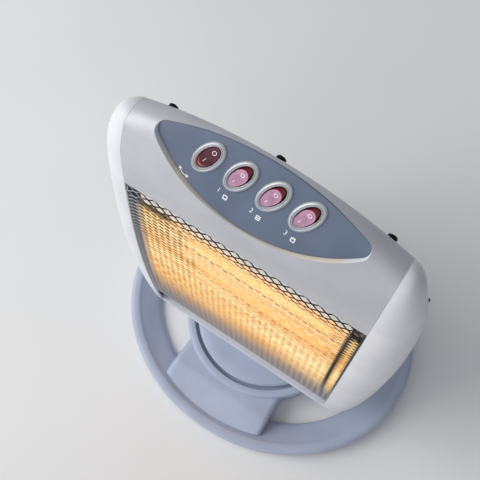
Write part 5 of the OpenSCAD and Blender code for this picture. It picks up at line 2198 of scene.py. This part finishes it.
def build_covers(looks: Looks) -> None:
    """Builds the side covers, the centre cover and their screws.

    Args:
        looks: The materials.
    """
    for side, node in ((-1, "side_cover_left"), (1, "side_cover_right")):
        cover = SideCover(side)
        finish_piece(cover.build(), Body.HEAD, "cover_plastic", looks["cover"], [node])
        for number, (height, depth) in enumerate(cover.screw_places):
            seat = np.array([side * cover.seat_x(height), depth, height])
            screw = Screw(3.6, 2.0, 1.9).build(f"{node}_screw_{number}", seat, np.array([side, 0.0, 0.0]))
            finish_piece(screw, Body.HEAD, "black_steel", looks["black_steel"], ["side_screws"])
    cover = TopCover()
    piece = cover.build(looks["silver"], looks["pocket"])
    finish_piece(piece, Body.HEAD, "silver_paint", stands_for=["top_cover"])
    for number, x in enumerate((-cover.screw_x, 0.0, cover.screw_x)):
        seat = cover.screw_place(x) + [0.0, cover.screw_gap, 0.0]
        screw = Screw().build(f"rear_screw_{number}", seat, np.array([0.0, 1.0, 0.0]))
        finish_piece(screw, Body.HEAD, "black_steel", looks["black_steel"], ["rear_screws"])


def build_panel(looks: Looks) -> None:
    """Builds the panel, the switches, their marks and the prints.

    Args:
        looks: The materials.
    """
    panel = Panel()
    finish_piece(panel.plate(), Body.HEAD, "panel_plastic", looks["panel"], ["control_panel"])
    for switch in Switch:
        body, state = switch.body, "rocker_lit" if switch.lit else "rocker_off"
        finish_piece(panel.bezel(switch), Body.HEAD, "bezel_plastic", looks["bezel"], ["switch_housings"])
        finish_piece(panel.rocker(switch), body, state, looks[state], [body.value])
        finish_piece(panel.marks(switch), body, "silver_paint", looks["mark"])
        finish_piece(panel.prints(switch), Body.HEAD, "silver_paint", looks["print"])
        if switch.lit:
            finish_piece(panel.digit(switch), Body.HEAD, "silver_paint", looks["print"])


def build_grille(looks: Looks) -> None:
    """Builds the mesh, its border and the filaments behind it.

    Args:
        looks: The materials.
    """
    grille, tubes = Grille(), Tubes()
    finish_piece(grille.mesh(), Body.HEAD, "grille_black", looks["mesh"], ["grille_mesh"])
    finish_piece(grille.frame(), Body.HEAD, "grille_black", looks["mesh"], ["grille_mesh"])
    finish_piece(grille.ledge(), Body.HEAD, "cover_plastic", looks["trim"], ["bottom_cover"])
    finish_piece(grille.flange(), Body.HEAD, "reflector_bright", looks["flange"], ["reflector"])
    for height in tubes.heights:
        finish_piece(tubes.coil(height), Body.HEAD, "filament", looks["coil"], ["filaments"])


def main() -> None:
    """Loads the frame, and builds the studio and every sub-assembly."""
    logging.basicConfig(level=logging.INFO, format="%(message)s")
    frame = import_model()
    Studio().build()
    looks = {name: finish.material() for name, finish in FINISHES.items()}
    for build in (build_stand, build_covers, build_panel, build_grille):
        build(looks)
    dress_plain_parts(frame, looks)


if __name__ == "__main__":
    main()
